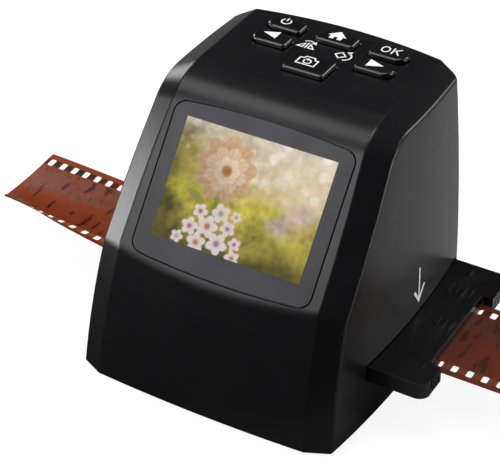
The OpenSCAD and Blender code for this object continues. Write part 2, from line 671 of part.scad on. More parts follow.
// ---- main board ----
main_side = 5.4;          // from the main board to the top's side edges
main_back = 2.6;          // from the main board to the back cover
main_front = 10.6;        // from the shoulder's end forwards to the main board's front edge
main_post_inset = 4;      // from the main board's edges to its posts
main_w = top_w - 2 * main_side;
main_y0 = shoulder_y - main_front;
main_y1 = back_y(main_w / 2) - wall - main_back;
main_post_x = main_w / 2 - main_post_inset;
main_post_at = [for (x = [-1, 1], y = [main_y0 + main_post_inset, main_y1 - main_post_inset])
    [x * main_post_x, y]];
module main_board() color("#2a5f36") {
    difference() {
        translate([-main_w / 2, main_y0, main_z]) cube([main_w, main_y1 - main_y0, board_t]);
        drill(main_post_at, hole_d, main_z - past, board_t + 2 * past);
    }
}
post_bite = 5;            // how far a screw reaches into a post
module main_board_screws() color("#8d9094") {
    for (p = main_post_at) translate([p[0], p[1], deck_z]) mirror([0, 0, 1]) screw_up(board_t + post_bite);
}
chip_w = 12;
chip_t = 1.2;
chip_x = 4;
module processor_chip() color("#1c1c1e") {
    translate([chip_x, card_y - card_l - chip_w - 1, deck_z]) cube([chip_w, chip_w, chip_t]);
}
shell_t = 0.4;            // sheet metal of the sockets
card_stop = 4;            // from the back of the card socket to the end of its slot
tongue_t = 0.6;
module card_socket() color("#b4b7ba") {
    translate([-card_w / 2, card_y - card_l, deck_z]) difference() {
        cube([card_w, card_l, card_h]);
        translate([card_lip, card_stop, shell_t])
            cube([card_w - 2 * card_lip, card_l, card_h - 2 * shell_t]);
    }
}
module usb_socket() color("#b4b7ba") {
    translate([side_socket_x - usb_w / 2, usb_y - usb_l, deck_z]) {
        difference() {
            cube([usb_w, usb_l, usb_h]);
            translate([shell_t, 2 * shell_t, shell_t])
                cube([usb_w - 2 * shell_t, usb_l, usb_h - 2 * shell_t]);
        }
        translate([usb_w / 6, shell_t, (usb_h - tongue_t) / 2]) cube([usb_w * 2 / 3, usb_l * 0.7, tongue_t]);
    }
}
module video_jack() color("#1e1e20") {
    translate([-side_socket_x - jack_w / 2, jack_y - jack_l, deck_z]) difference() {
        cube([jack_w, jack_l, jack_h]);
        translate([jack_w / 2, 2 * past, jack_h / 2]) rotate([-90, 0, 0])
            cylinder(d = jack_bore, h = jack_l, $fn = 36);
    }
}

// ---- detent spring on the tunnel's front wall ----
spring_l = 34;
spring_t = 0.35;
spring_h = 3.2;
spring_nose = 4;          // half length of the spring's nose
spring_seat = 2;          // how far the spring's ends lie on the wall
nose_gap = 0.1;           // between the nose and the tray
tunnel_y0 = tray_y - tunnel_w / 2 - tunnel_t;
module detent_spring() color("#c2c5c9") {
    y0 = tunnel_y0 - spring_t;
    nose_y = tray_y - tray_w / 2 - nose_gap;
    lean = spring_nose + spring_t / 2;
    translate([0, 0, film_z - spring_h / 2]) linear_extrude(spring_h)
        polygon([[-spring_l / 2, y0], [-spring_nose, y0], [0, nose_y - spring_t], [spring_nose, y0],
            [spring_l / 2, y0], [spring_l / 2, tunnel_y0], [lean, tunnel_y0], [0, nose_y],
            [-lean, tunnel_y0], [-spring_l / 2, tunnel_y0]]);
}

// ---- chassis: tray tunnel, legs and posts ----
tunnel_half = side_x(tunnel_y0, tunnel_z1) - wall - tunnel_room;
gate_edge = 1;            // how far the tunnel's opening is wider than the gate, each side
module chassis() color("#1f1f21") {
    difference() {
        union() {
            translate([-tunnel_half, tunnel_y0, tunnel_z0])
                cube([2 * tunnel_half, tunnel_w + 2 * tunnel_t, tunnel_z1 - tunnel_z0]);
            posts(leg_at, post_d, floor_z, tunnel_z0 - floor_z + eps);
            posts(main_post_at, post_d, tunnel_z1 - eps, main_z - tunnel_z1 + eps);
        }
        translate([-tunnel_half - past, tray_y - tunnel_w / 2, tunnel_z0 + tunnel_t])
            cube([2 * (tunnel_half + past), tunnel_w, tunnel_z1 - tunnel_z0 - 2 * tunnel_t]);
        translate([-gate_w / 2 - gate_edge, film_y - gate_h / 2 - gate_edge, tunnel_z0 - past])
            cube([gate_w + 2 * gate_edge, gate_h + 2 * gate_edge, tunnel_z1]);
        translate([spring_seat - spring_l / 2, tunnel_y0 - past, film_z - spring_h / 2 - past / 2])
            cube([spring_l - 2 * spring_seat, tunnel_t + 2 * past, spring_h + past]);
        drill(leg_at, bore_d, floor_z - past, tunnel_z0 - floor_z);
        drill(main_post_at, bore_d, main_z - post_bite - 2 * bore_past, post_bite + 3 * bore_past);
    }
}
module chassis_screws() color("#8d9094") {
    for (p = leg_at) translate([p[0], p[1], foot_gap + head_h]) screw_up(case_screw_l);
}

// ---- light under the gate ----
diffuser_t = 1.5;
box_ledge = 1;            // ledge that holds the light board and the diffuser
box_h = tunnel_z0 - floor_z;
inner_w = box_w - 2 * box_t;
inner_l = box_l - 2 * box_t;
inner_r = 0.6;
module light_box() color("#e9e9e6") {
    translate([0, film_y, floor_z]) difference() {
        rounded_box(box_w, box_l, 1, box_h);
        translate([0, 0, -past]) rounded_box(inner_w, inner_l, inner_r, board_t + past);
        rounded_box(inner_w - 2 * box_ledge, inner_l - 2 * box_ledge, inner_r, box_h);
        translate([0, 0, box_h - diffuser_t]) rounded_box(inner_w, inner_l, inner_r, diffuser_t + past);
    }
}
module inner_plate(z, t) {
    translate([0, film_y, z]) rounded_box(inner_w - 2 * fit_gap, inner_l - 2 * fit_gap, inner_r - eps, t);
}
module light_board() color("#f0f0ea") inner_plate(floor_z, board_t);
module diffuser() color("#f7f7f5") inner_plate(tunnel_z0 - diffuser_t, diffuser_t);
led_size = [3.5, 2.8, 1.1];
led_pitch = [gate_w / 3, gate_h * 2 / 3];
module leds() color("#f4e9a8") {
    for (i = [-1:1], j = [-0.5, 0.5])
        translate([i * led_pitch[0] - led_size[0] / 2, film_y + j * led_pitch[1] - led_size[1] / 2,
            floor_z + board_t]) cube(led_size);
}

// ---- camera above the gate ----
chamber_t = 1.4;          // wall of the dark chamber
chamber_edge = 3.8;       // from the gate to the outside of the chamber's foot
deck_t = 1.6;             // thickness of the chamber's top
holder_w = 16;            // base of the lens holder
holder_h = 5;
lens_wall = 1;            // wall of the lens holder round the barrel
lens_gap = 0.1;           // play of the barrel in its holder, on the diameter
sensor_w = 9.2;
post_r = 2.3;             // posts of the sensor board
sensor_post_x = holder_w / 2 + post_r + 2.2;
sensor_post_y = holder_w / 2 + post_r - 0.3;
sensor_post_at = [for (x = [-1, 1], y = [-1, 1]) [x * sensor_post_x, y * sensor_post_y]];
chamber_w = [gate_w + 2 * chamber_edge, lens_d + 12];
chamber_l = [gate_h + 2 * chamber_edge + past, lens_d + 12];
module taper(inset, h) {
    w = [for (s = chamber_w) s - 2 * inset];
    l = [for (s = chamber_l) s - 2 * inset];
    hull() {
        translate([-w[0] / 2, -l[0] / 2, 0]) cube([w[0], l[0], eps]);
        translate([-w[1] / 2, -l[1] / 2, h - eps]) cube([w[1], l[1], eps]);
    }
}
module dark_chamber() color("#171718") {
    translate([0, film_y, tunnel_z1]) difference() {
        union() {
            taper(0, chamber_h);
            translate([0, 0, chamber_h - deck_t])
                rounded_box(2 * (sensor_post_x + post_r), 2 * (sensor_post_y + post_r), post_r, deck_t);
            posts(sensor_post_at, 2 * post_r, chamber_h - eps, sensor_drop + eps);
        }
        translate([0, 0, -eps]) taper(chamber_t, chamber_h - deck_t);
        cylinder(d = lens_d + 2 * lens_wall + 2 * fit_gap, h = chamber_h + past, $fn = 48);
        drill(sensor_post_at, small_screw_d + screw_gap, chamber_h + sensor_drop - post_bite - past,
            post_bite + 2 * past);
    }
}
small_screw_d = screw_d - 0.4;
small_head_d = head_d - 0.4;
lens_top_z = sensor_z - holder_h; // top of the lens tube, where the holder's base starts
lens_low = 4;             // how far the barrel reaches below the chamber's top
module lens_holder() color("#202022") {
    tube_z = chamber_top_z - deck_t;
    translate([0, film_y, 0]) difference() {
        union() {
            translate([-holder_w / 2, -holder_w / 2, lens_top_z]) cube([holder_w, holder_w, holder_h]);
            translate([0, 0, tube_z])
                cylinder(d = lens_d + 2 * lens_wall, h = lens_top_z - tube_z + eps, $fn = 48);
        }
        translate([0, 0, tube_z - past])
            cylinder(d = lens_d + lens_gap, h = lens_top_z - tube_z + past - lens_wall / 2, $fn = 48);
        translate([0, 0, lens_top_z - 2 * lens_wall]) cylinder(d = lens_d - 3, h = holder_h, $fn = 48);
        translate([-sensor_w / 2 - past, -sensor_w / 2 - past, lens_top_z + lens_wall])
            cube([sensor_w + 2 * past, sensor_w + 2 * past, holder_h]);
    }
}
glass_seat = 1.2;         // wall of the barrel round the lens
glass_t = 1.4;            // thickness of the lens
stop_t = 2.4;             // depth of the lens's seat in the barrel
lens_z = chamber_top_z - lens_low;
module lens_barrel() color("#2a2a2d") {
    translate([0, film_y, lens_z]) difference() {
        cylinder(d = lens_d, h = lens_top_z - lens_z - lens_wall, $fn = 48);
        translate([0, 0, -past]) cylinder(d = lens_d - 2 * glass_seat, h = stop_t + past, $fn = 48);
        cylinder(d = lens_d - 4 * glass_seat, h = big, $fn = 48);
    }
}
module lens_glass() color("#9fb7c4") {
    translate([0, film_y, lens_z + stop_t - glass_t])
        cylinder(d = lens_d - 2 * glass_seat - lens_gap, h = glass_t, $fn = 48);
}
sensor_board_edge = 1.2;  // from a post's outside to the edge of the sensor board
module sensor_board() color("#2a5f36") {
    w = 2 * (sensor_post_x + post_r + sensor_board_edge);
    l = 2 * (sensor_post_y + post_r + sensor_board_edge);
    translate([0, film_y, sensor_z]) difference() {
        translate([-w / 2, -l / 2, 0]) cube([w, l, board_t]);
        drill(sensor_post_at, small_screw_d + 2 * screw_gap, -past, board_t + 2 * past);
    }
}
module image_sensor() color("#33404a") {
    translate([-sensor_w / 2, film_y - sensor_w / 2, sensor_z - chip_t]) cube([sensor_w, sensor_w, chip_t]);
}
module sensor_screws() color("#8d9094") {
    for (p = sensor_post_at) translate([p[0], film_y + p[1], sensor_z + board_t]) mirror([0, 0, 1]) {
        translate([0, 0, -head_h]) cylinder(d = small_head_d, h = head_h, $fn = 36);
        cylinder(d = small_screw_d, h = board_t + post_bite, $fn = 32);
    }
}

// ---- film tray ----
tray_x0 = tray_reach - tray_l;
notch_edge = 0.8;         // how far the notch is wider than the film, each side
notch_r = 1;
channel_gap = 0.2;        // clearance beside the film in its channel
notch_w = film_w + 2 * notch_edge;
channel_w = film_w + 2 * channel_gap;
hinge_r = 2.2;            // radius of the hinge's knuckles
hinge_inset = 2.6;        // from the tray's rear edge to the hinge pin
hinge_start = 6;          // from the tray's inner end to the hinge
knuckle_n = 5;
knuckle_gap = 0.2;        // end play of a knuckle
knuckle_room = 0.3;       // clearance round a knuckle in the other half
pin_gap = 0.1;            // play of the hinge pin, on the diameter
hinge_y = tray_y + tray_w / 2 - hinge_inset;
hinge_x0 = tray_x0 + hinge_start;
module tray_outline() {
    difference() {
        union() {
            translate([tray_x0, tray_y - tray_w / 2]) square([tray_l - tray_r, tray_w]);
            translate([tray_x0 + tray_r, tray_y - tray_w / 2 + tray_r])
                square([tray_l - tray_r, tray_w - 2 * tray_r]);
            for (y = [-1, 1]) translate([tray_reach - tray_r, tray_y + y * (tray_w / 2 - tray_r)])
                circle(tray_r, $fn = 48);
        }
        translate([tray_reach - notch_d / 2, film_y]) rounded(notch_d, notch_w, notch_r);
        translate([tray_reach - notch_r, film_y - notch_w / 2]) square([notch_r + past, notch_w]);
        translate([tray_reach - notch_d / 2 + notch_r, film_y - notch_w / 2]) square([notch_d, notch_w]);
    }
}
module gate_window(z, h) {
    translate([0, film_y, z]) rounded_box(gate_w, gate_h, notch_r, h);
}
// Knuckles of one half: phase 0 for the base, 1 for the lid
module knuckles(phase) {
    for (i = [phase:2:knuckle_n - 1])
        translate([hinge_x0 + i * knuckle_l + knuckle_gap / 2, hinge_y, split_z])
            rotate([0, 90, 0]) cylinder(r = hinge_r, h = knuckle_l - knuckle_gap, $fn = 40);
}
module knuckle_pockets(phase) {
    for (i = [phase:2:knuckle_n - 1])
        translate([hinge_x0 + i * knuckle_l - knuckle_room, hinge_y, split_z]) rotate([0, 90, 0])
            cylinder(r = hinge_r + knuckle_room, h = knuckle_l + 2 * knuckle_room, $fn = 40);
}
module hinge_bore() {
    translate([hinge_x0 - past, hinge_y, split_z]) rotate([0, 90, 0])
        cylinder(d = hinge_pin_d + pin_gap, h = knuckle_n * knuckle_l + 2 * past, $fn = 32);
}
// Snap tabs of the lid along the tray's front edge, and their pockets in the base
snap_l = 5.4;
snap_t = 1.2;
snap_h = 1;
snap_at = [tray_x0 + 0.23 * tray_l, tray_x0 + 0.63 * tray_l];
module snaps(g = 0) {
    out = past * sign(g);
    for (x = snap_at)
        translate([x - snap_l / 2 - g, tray_y - tray_w / 2 - out, split_z - snap_h - g])
            cube([snap_l + 2 * g, snap_t + g + out, snap_h + g + eps]);
}
// Notches that the detent spring clicks into, one frame apart
frame_pitch = 38;
detent_d = 0.7;
module detents() {
    for (x = [0, frame_pitch]) translate([x, tray_y - tray_w / 2, tray_z - past])
        cylinder(r = detent_d, h = tray_base_t + 2 * past, $fn = 32);
}
module tray_base() color("#1a1a1c") {
    difference() {
        union() {
            difference() {
                translate([0, 0, tray_z]) linear_extrude(tray_base_t) tray_outline();
                knuckle_pockets(1);
            }
            knuckles(0);
        }
        translate([tray_x0 - past, film_y - channel_w / 2, film_z - film_gap])
            cube([tray_l + 2 * past, channel_w, tray_base_t]);
        gate_window(tray_z - past, tray_base_t + 2 * past);
        hinge_bore();
        snaps(fit_gap);
        detents();
    }
}
// Ridges on the lid as [from the outer end, from the tray's middle, how many, length], and a tick
ridge_w = 0.5;
ridge_pitch = 2.2;
ridge_groups = [[13.6, 16.2, 4, 5], [10, -1, 3, 3.6], [9.4, -22, 3, 2.4]];
tick = [11.2, 26, 3.8];
module ridges() {
    for (g = ridge_groups, i = [0:g[2] - 1])
        translate([tray_reach - g[0] + i * ridge_pitch, tray_y + g[1] - g[3] / 2, tray_top_z - eps])
            cube([ridge_w, g[3], ridge_h + eps]);
    translate([tray_reach - tick[0], tray_y + tick[1] - tick[2] / 2, tray_top_z - eps])
        cube([ridge_w, tick[2], ridge_h + eps]);
}
module tray_lid() color("#1c1c1e") {
    difference() {
        union() {
            difference() {
                translate([0, 0, split_z]) linear_extrude(tray_lid_t) tray_outline();
                knuckle_pockets(0);
            }
            knuckles(1);
            snaps();
            ridges();
        }
        gate_window(split_z - past, tray_lid_t + 2 * past);
        hinge_bore();
    }
}
module tray_hinge_pin() color("#c2c5c9") {
    translate([hinge_x0, hinge_y, split_z]) rotate([0, 90, 0])
        cylinder(d = hinge_pin_d, h = knuckle_n * knuckle_l, $fn = 32);
}

// ---- film strip: flat in the tray, its free left end curls up a little ----
film_start = 61.5;        // from the tray's inner end to the film's left end
curl_l = 42;              // length of the curled end
curl_r = 620;             // radius of the curl
curl_n = 8;               // steps round the curl
perf_w = 2.8;             // perforation across the film
perf_l = 1.98;            // perforation along the film
perf_in = 3.41;           // from the film's edge to the middle of a perforation
film_x0 = tray_x0 - film_start;
curl_x = film_x0 + curl_l;
curl_a = asin(curl_l / curl_r);
function curl_at(r, a) = [curl_x - r * sin(a), film_z + curl_r - r * cos(a)];
module film_profile() {
    under = [for (k = [curl_n:-1:0]) curl_at(curl_r, curl_a * k / curl_n)];
    over = [for (k = [0:curl_n]) curl_at(curl_r - film_t, curl_a * k / curl_n)];
    ends = [[film_x0 + film_l, film_z], [film_x0 + film_l, film_z + film_t]];
    polygon(concat(under, ends, over));
}
module film_strip() color("#8a4528") {
    perf_y = film_w / 2 - perf_in;
    difference() {
        translate([0, film_y + film_w / 2, 0]) rotate([90, 0, 0]) linear_extrude(film_w) film_profile();
        for (i = [0:floor(film_l / perf_pitch) - 1], side = [-1, 1])
            translate([film_x0 + (i + 0.5) * perf_pitch - perf_l / 2,
                film_y + side * perf_y - perf_w / 2, film_z - past])
                cube([perf_l, perf_w, 5 * past]);
    }
}

hood();
back_cover();
base_plate();
rubber_feet();
base_screws();
screen_window();
lcd_panel();
lcd_bracket();
lcd_screws();
lcd_ribbon();
power_button();
home_button();
ok_button();
left_button();
right_button();
capture_button();
key_membrane();
key_board();
key_domes();
key_board_screws();
main_board();
main_board_screws();
processor_chip();
card_socket();
usb_socket();
video_jack();
chassis();
chassis_screws();
light_box();
light_board();
leds();
diffuser();
dark_chamber();
lens_holder();
lens_barrel();
lens_glass();
sensor_board();
image_sensor();
sensor_screws();
detent_spring();
tray_base();
tray_lid();
tray_hinge_pin();
film_strip();
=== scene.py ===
import json
import random
from math import acos, asin, atan2, copysign, cos, degrees, hypot, pi, radians, sin, sqrt, tan
from types import SimpleNamespace
import bpy
import bmesh
from mathutils import Matrix, Vector, kdtree, noise


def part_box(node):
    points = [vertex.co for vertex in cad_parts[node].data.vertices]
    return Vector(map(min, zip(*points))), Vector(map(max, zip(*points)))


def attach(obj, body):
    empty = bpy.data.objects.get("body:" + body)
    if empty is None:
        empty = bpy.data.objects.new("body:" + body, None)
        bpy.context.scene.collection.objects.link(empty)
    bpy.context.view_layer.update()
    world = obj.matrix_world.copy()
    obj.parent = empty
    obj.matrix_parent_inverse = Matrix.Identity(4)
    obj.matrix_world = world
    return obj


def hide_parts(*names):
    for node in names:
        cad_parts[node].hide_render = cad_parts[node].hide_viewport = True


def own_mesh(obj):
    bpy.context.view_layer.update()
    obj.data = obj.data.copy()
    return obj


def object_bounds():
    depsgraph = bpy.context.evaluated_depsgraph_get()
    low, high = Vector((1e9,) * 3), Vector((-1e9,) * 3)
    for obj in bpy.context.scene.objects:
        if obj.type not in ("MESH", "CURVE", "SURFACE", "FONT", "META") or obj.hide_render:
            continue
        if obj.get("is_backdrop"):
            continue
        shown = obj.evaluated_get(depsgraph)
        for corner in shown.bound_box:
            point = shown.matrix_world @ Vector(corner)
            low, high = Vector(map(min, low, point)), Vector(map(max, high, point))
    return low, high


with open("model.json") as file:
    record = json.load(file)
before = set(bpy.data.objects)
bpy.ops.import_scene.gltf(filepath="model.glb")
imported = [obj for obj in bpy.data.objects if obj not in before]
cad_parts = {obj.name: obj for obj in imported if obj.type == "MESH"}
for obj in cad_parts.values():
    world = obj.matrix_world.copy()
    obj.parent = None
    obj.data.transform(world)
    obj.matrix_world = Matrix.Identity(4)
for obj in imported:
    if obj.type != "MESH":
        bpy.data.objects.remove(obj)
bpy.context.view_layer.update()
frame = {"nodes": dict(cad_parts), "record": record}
cadNodes = frame["nodes"]
mm = 0.001
print("frame loaded:", len(cadNodes), "nodes")


# ---- nodes and materials ----

def linear(hexColour):
    parts = [int(hexColour[i:i + 2], 16) / 255 for i in (1, 3, 5)]
    return [c / 12.92 if c <= 0.04045 else ((c + 0.055) / 1.055) ** 2.4 for c in parts] + [1]


def addNode(tree, kind, links=None, **settings):
    node = tree.nodes.new(kind)
    for name, value in settings.items():
        setattr(node, name, value)
    for socket, source in (links or {}).items():
        if isinstance(source, bpy.types.NodeSocket):
            tree.links.new(source, node.inputs[socket])
        else:
            node.inputs[socket].default_value = source
    return node


def setStops(ramp, stops):
    points = ramp.color_ramp.elements
    while len(points) < len(stops):
        points.new(0.5)
    for point, (place, colour) in zip(points, stops):
        point.position = place
        point.color = linear(colour)


# A principled shader with fixed values on its own sockets, Object coordinates in metres,
# and feed(socket, source), which links a source to one of the shader's sockets
def newMaterial(name, colour, **values):
    material = bpy.data.materials.new(name)
    material.use_nodes = True
    tree = material.node_tree
    shader = tree.nodes["Principled BSDF"]
    shader.inputs["Base Color"].default_value = linear(colour)
    for socket, value in values.items():
        shader.inputs[socket.replace("_", " ")].default_value = value
    return SimpleNamespace(material=material, tree=tree,
                           place=addNode(tree, "ShaderNodeTexCoord").outputs["Object"],
                           feed=lambda socket, source: tree.links.new(source, shader.inputs[socket]))


# Cloudy change between two shades, in patches of the given size
def mottle(look, colourA, colourB, patch):
    cloud = addNode(look.tree, "ShaderNodeTexNoise", {"Vector": look.place, "Scale": 1 / (patch * mm), "Detail": 4.0})
    ramp = addNode(look.tree, "ShaderNodeValToRGB", {"Fac": cloud.outputs["Fac"]})
    setStops(ramp, [(0.3, colourA), (0.7, colourB)])
    look.feed("Base Color", ramp.outputs["Color"])


# Roughness that drifts between two values, as on a moulding that has been handled
def uneven(look, low, high, patch):
    cloud = addNode(look.tree, "ShaderNodeTexNoise", {"Vector": look.place, "Scale": 1 / (patch * mm), "Detail": 1.0})
    spread = addNode(look.tree, "ShaderNodeMapRange", {"Value": cloud.outputs["Fac"], "From Min": 0.3, "From Max": 0.7,
                                                       "To Min": low, "To Max": high})
    look.feed("Roughness", spread.outputs["Result"])


# Fine grain in the surface, with its pitch and height in millimetres
def grain(look, pitch, height, stretch=(1, 1, 1)):
    turned = addNode(look.tree, "ShaderNodeMapping", {"Vector": look.place, "Scale": stretch})
    cloud = addNode(look.tree, "ShaderNodeTexNoise", {"Vector": turned.outputs["Vector"], "Scale": 1 / (pitch * mm),
                                                      "Detail": 2.0})
    bump = addNode(look.tree, "ShaderNodeBump", {"Height": cloud.outputs["Fac"], "Distance": height * mm,
                                                 "Strength": 1.0})
    look.feed("Normal", bump.outputs["Normal"])


# Two shades, a roughness that drifts between two values and a grain; patches: their sizes for shade and roughness
def mouldedPlastic(name, shadeA, shadeB, smooth, rough, pitch=0.45, height=0.004, patches=(9, 14), stretch=(1, 1, 1),
                   **values):
    look = newMaterial(name, shadeA, **values)
    mottle(look, shadeA, shadeB, patches[0])
    uneven(look, smooth, rough, patches[1])
    grain(look, pitch, height, stretch)
    return look.material


def platedSteel(name, shadeA, shadeB, smooth, rough, pitch=0.3, height=0.003, **values):
    return mouldedPlastic(name, shadeA, shadeB, smooth, rough, pitch, height, (3, 2), Metallic=1.0, **values)


# Two shades over fixed values
def cloudedPlastic(name, shadeA, shadeB, patch, **values):
    look = newMaterial(name, shadeA, **values)
    mottle(look, shadeA, shadeB, patch)
    return look.material


# Glass-fibre board under solder mask: glossy lacquer over a faint weave, with lighter copper lines below it
def lacqueredBoard(name, lacquer, line):
    look = newMaterial(name, lacquer, Roughness=0.3, Coat_Weight=0.5, Coat_Roughness=0.12)
    weave = addNode(look.tree, "ShaderNodeTexBrick", {"Vector": look.place, "Scale": 1 / (3 * mm),
                                                      "Color1": linear(lacquer), "Color2": linear(lacquer),
                                                      "Mortar": linear(line), "Mortar Size": 0.03})
    look.feed("Base Color", weave.outputs["Color"])
    grain(look, 0.5, 0.004)
    return look.material


# Polyimide flat cable: amber film with copper tracks 1 mm apart showing through
def flatCable():
    look = newMaterial("polyimide_flat_cable", "#b07a2c", Roughness=0.3, Coat_Weight=0.4)
    tracks = addNode(look.tree, "ShaderNodeTexWave", {"Vector": look.place, "Scale": 1 / (6.3 * mm)},
                     bands_direction="X", wave_profile="SIN")
    ramp = addNode(look.tree, "ShaderNodeValToRGB", {"Fac": tracks.outputs["Fac"]})
    setStops(ramp, [(0.4, "#a86f26"), (0.6, "#c98d3c")])
    look.feed("Base Color", ramp.outputs["Color"])
    return look.material


# Coated lens glass: clear with a faint green-purple coating
def coatedGlass(name, colour, tint):
    look = newMaterial(name, colour, Roughness=0.03, Coat_Weight=1.0, IOR=1.52)
    rim = addNode(look.tree, "ShaderNodeLayerWeight", {"Blend": 0.4})
    mix = addNode(look.tree, "ShaderNodeMix",
                  {"Factor": rim.outputs["Facing"], "A": linear(colour), "B": linear(tint)}, data_type="RGBA")
    look.feed("Base Color", mix.outputs["Result"])
    return look.material


slotLooks = {
    # Satin black ABS from a spark-eroded mould: soft wide highlights and a fine even grain, drawn a little
    # coarser than the real one so that it shows
    "housing_plastic": mouldedPlastic("moulded_abs_satin_black", "#121113", "#151416", 0.265, 0.3, pitch=0.35,
                                      Specular_IOR_Level=0.28),
    # The same ABS on the base plate, left matt
    "base_plastic": mouldedPlastic("moulded_abs_matt_black", "#1a191b", "#1f1e20", 0.55, 0.65, height=0.008),
    # ABS from a polished mould: deep black with crisp highlights
    "button_plastic": mouldedPlastic("moulded_abs_gloss_black", "#0a090a", "#0e0d0e", 0.2, 0.26, height=0.0008,
                                     Coat_Weight=0.2, Coat_Roughness=0.14),
    # Film tray: deep black ABS, nearly smooth, a little polished by the fingers
    "tray_plastic": mouldedPlastic("moulded_abs_tray_black", "#070708", "#0b0b0c", 0.24, 0.29, height=0.002,
                                   Specular_IOR_Level=0.28, Coat_Weight=0.2, Coat_Roughness=0.24),
    # Inside parts: black ABS, matt so that no light strays
    "inner_plastic": mouldedPlastic("moulded_abs_inner_black", "#141415", "#1a1a1b", 0.65, 0.8, height=0.008),
    # White ABS of the light box, which spreads the lamps' light
    "white_plastic": mouldedPlastic("moulded_abs_white", "#e4e4df", "#edede9", 0.35, 0.45),
    # Black epoxy of the chip, slightly sparkling from its filler
    "chip_epoxy": mouldedPlastic("epoxy_moulding_compound", "#161617", "#202021", 0.45, 0.6, pitch=0.2, height=0.006),
    # Nylon of the video jack: waxy black
    "jack_plastic": mouldedPlastic("moulded_nylon_black", "#131314", "#19191b", 0.35, 0.5),
    # Compression-moulded rubber: very matt, dusty black
    "foot_rubber": mouldedPlastic("moulded_rubber_black", "#121212", "#1b1b1b", 0.8, 0.92, pitch=0.3, height=0.01),
    # Silicone of the key mat: soft grey with a dull sheen
    "key_rubber": mouldedPlastic("moulded_silicone_grey", "#6b6d70", "#75777a", 0.6, 0.7),
    # Tinted acrylic of the screen window: anti-glare front, bluish black, printed black from behind
    "window_acrylic": mouldedPlastic("tinted_acrylic", "#1d1b24", "#211f28", 0.36, 0.42, 0.4, 0.008, (12, 10),
                                     IOR=1.49, Specular_IOR_Level=0.34),
    # Opal acrylic over the lamps: white, smooth, lets some light through
    "diffuser_acrylic": cloudedPlastic("opal_acrylic", "#f1f1ec", "#f8f8f5", 6, Roughness=0.25,
                                       Subsurface_Weight=0.4, Subsurface_Scale=0.002),
    # Lamps: white package with a yellow phosphor spot
    "led": cloudedPlastic("led_package", "#f2e8a6", "#f8f4dc", 1.5, Roughness=0.35),
    # Zinc plate, passivated: bluish grey metal with a slight haze
    "screw_steel": platedSteel("zinc_plated_steel", "#9a9da3", "#b0b3b8", 0.28, 0.42),
    # Rolled spring strip: bright, with fine lines along the strip
    "spring_steel": platedSteel("rolled_spring_steel", "#b5b7ba", "#c6c8ca", 0.2, 0.32, stretch=(0.1, 1, 1)),
    # Pressed steel sheet of the bracket, dull zinc
    "sheet_steel": platedSteel("pressed_steel_sheet", "#84878b", "#95989c", 0.4, 0.55, pitch=1.2),
    # Tinned steel of the sockets: pale and smooth
    "socket_shell": platedSteel("tinned_steel", "#b8babc", "#cacccd", 0.22, 0.34),
    "circuit_board": lacqueredBoard("solder_mask_green", "#1d5a30", "#2f7a45"),
    "white_board": lacqueredBoard("solder_mask_white", "#ecece6", "#dededa"),
    "flex_cable": flatCable(),
    "lens_glass": coatedGlass("coated_lens_glass", "#2a4450", "#5f4a78"),
    "sensor_glass": coatedGlass("sensor_cover_glass", "#1b2430", "#3c2f52"),
}
slotLooks["display"] = slotLooks["window_acrylic"]
# Screen-printed white ink: flat, slightly chalky
whiteInk = cloudedPlastic("printed_white_ink", "#f1f1f0", "#fafafa", 0.6, Roughness=0.6)
print("materials made:", len(bpy.data.materials))


# ---- modelling helpers ----

def deselectAll():
    if bpy.context.object and bpy.context.object.mode != "OBJECT":
        bpy.ops.object.mode_set(mode="OBJECT")
    for item in bpy.context.selected_objects:
        item.select_set(False)


def pick(piece):
    deselectAll()
    piece.select_set(True)
    bpy.context.view_layer.objects.active = piece


def newObject(name, data):
    item = bpy.data.objects.new(name, data)
    bpy.context.scene.collection.objects.link(item)
    return item


# Runs mesh operators on the whole of a piece; each comes with its settings
def editAll(piece, *edits):
    pick(piece)
    bpy.ops.object.mode_set(mode="EDIT")
    bpy.ops.mesh.select_all(action="SELECT")
    for operator, settings in edits:
        operator(**settings)
    bpy.ops.object.mode_set(mode="OBJECT")


def joined(pieces):
    pick(pieces[0])
    for piece in pieces[1:]:
        piece.select_set(True)
    bpy.ops.object.join()
    return pieces[0]


# Points of an arc, with its angles in degrees
def arc(x, y, radius, first, last, steps=14):
    angles = [radians(first + (last - first) * k / steps) for k in range(steps + 1)]
    return [(x + radius * cos(a), y + radius * sin(a)) for a in angles]


# Moves each selected corner from its place in the old ring to the same one of the new ring
def moveMatched(piece, old, new):
    tree = kdtree.KDTree(len(old))
    for k, point in enumerate(old):
        tree.insert(point, k)
    tree.balance()
    for vert in piece.data.vertices:
        if vert.select:
            vert.co = new[tree.find(vert.co)[1]]


# One face through points
def makeFace(points):
    deselectAll()
    bpy.ops.mesh.primitive_circle_add(vertices=len(points), radius=1, fill_type="NGON")
    piece = bpy.context.object
    for vert, point in zip(piece.data.vertices, points):
        vert.co = point
    return piece


def makeGrid(columns, rows, size=2):
    deselectAll()
    bpy.ops.mesh.primitive_grid_add(x_subdivisions=columns, y_subdivisions=rows, size=size)
    return bpy.context.object


# A closed solid through rings of points: a face on the first ring, extruded ring by ring
def loft(name, rings):
    piece = makeFace(rings[0])
    piece.name = name
    editAll(piece)
    for before, after in zip(rings, rings[1:]):
        bpy.ops.object.mode_set(mode="EDIT")
        bpy.ops.mesh.extrude_region_move(TRANSFORM_OT_translate={"value": (0, 0, 0)})
        bpy.ops.object.mode_set(mode="OBJECT")
        moveMatched(piece, before, after)
    editAll(piece, (bpy.ops.mesh.normals_make_consistent, dict(inside=False)))
    return piece


# Puts a piece that was made in millimetres in its place, by default straight into the object's frame
def place(piece, matrix=Matrix.Scale(mm, 4)):
    piece.data.transform(matrix)
    piece.data.update()
    return piece


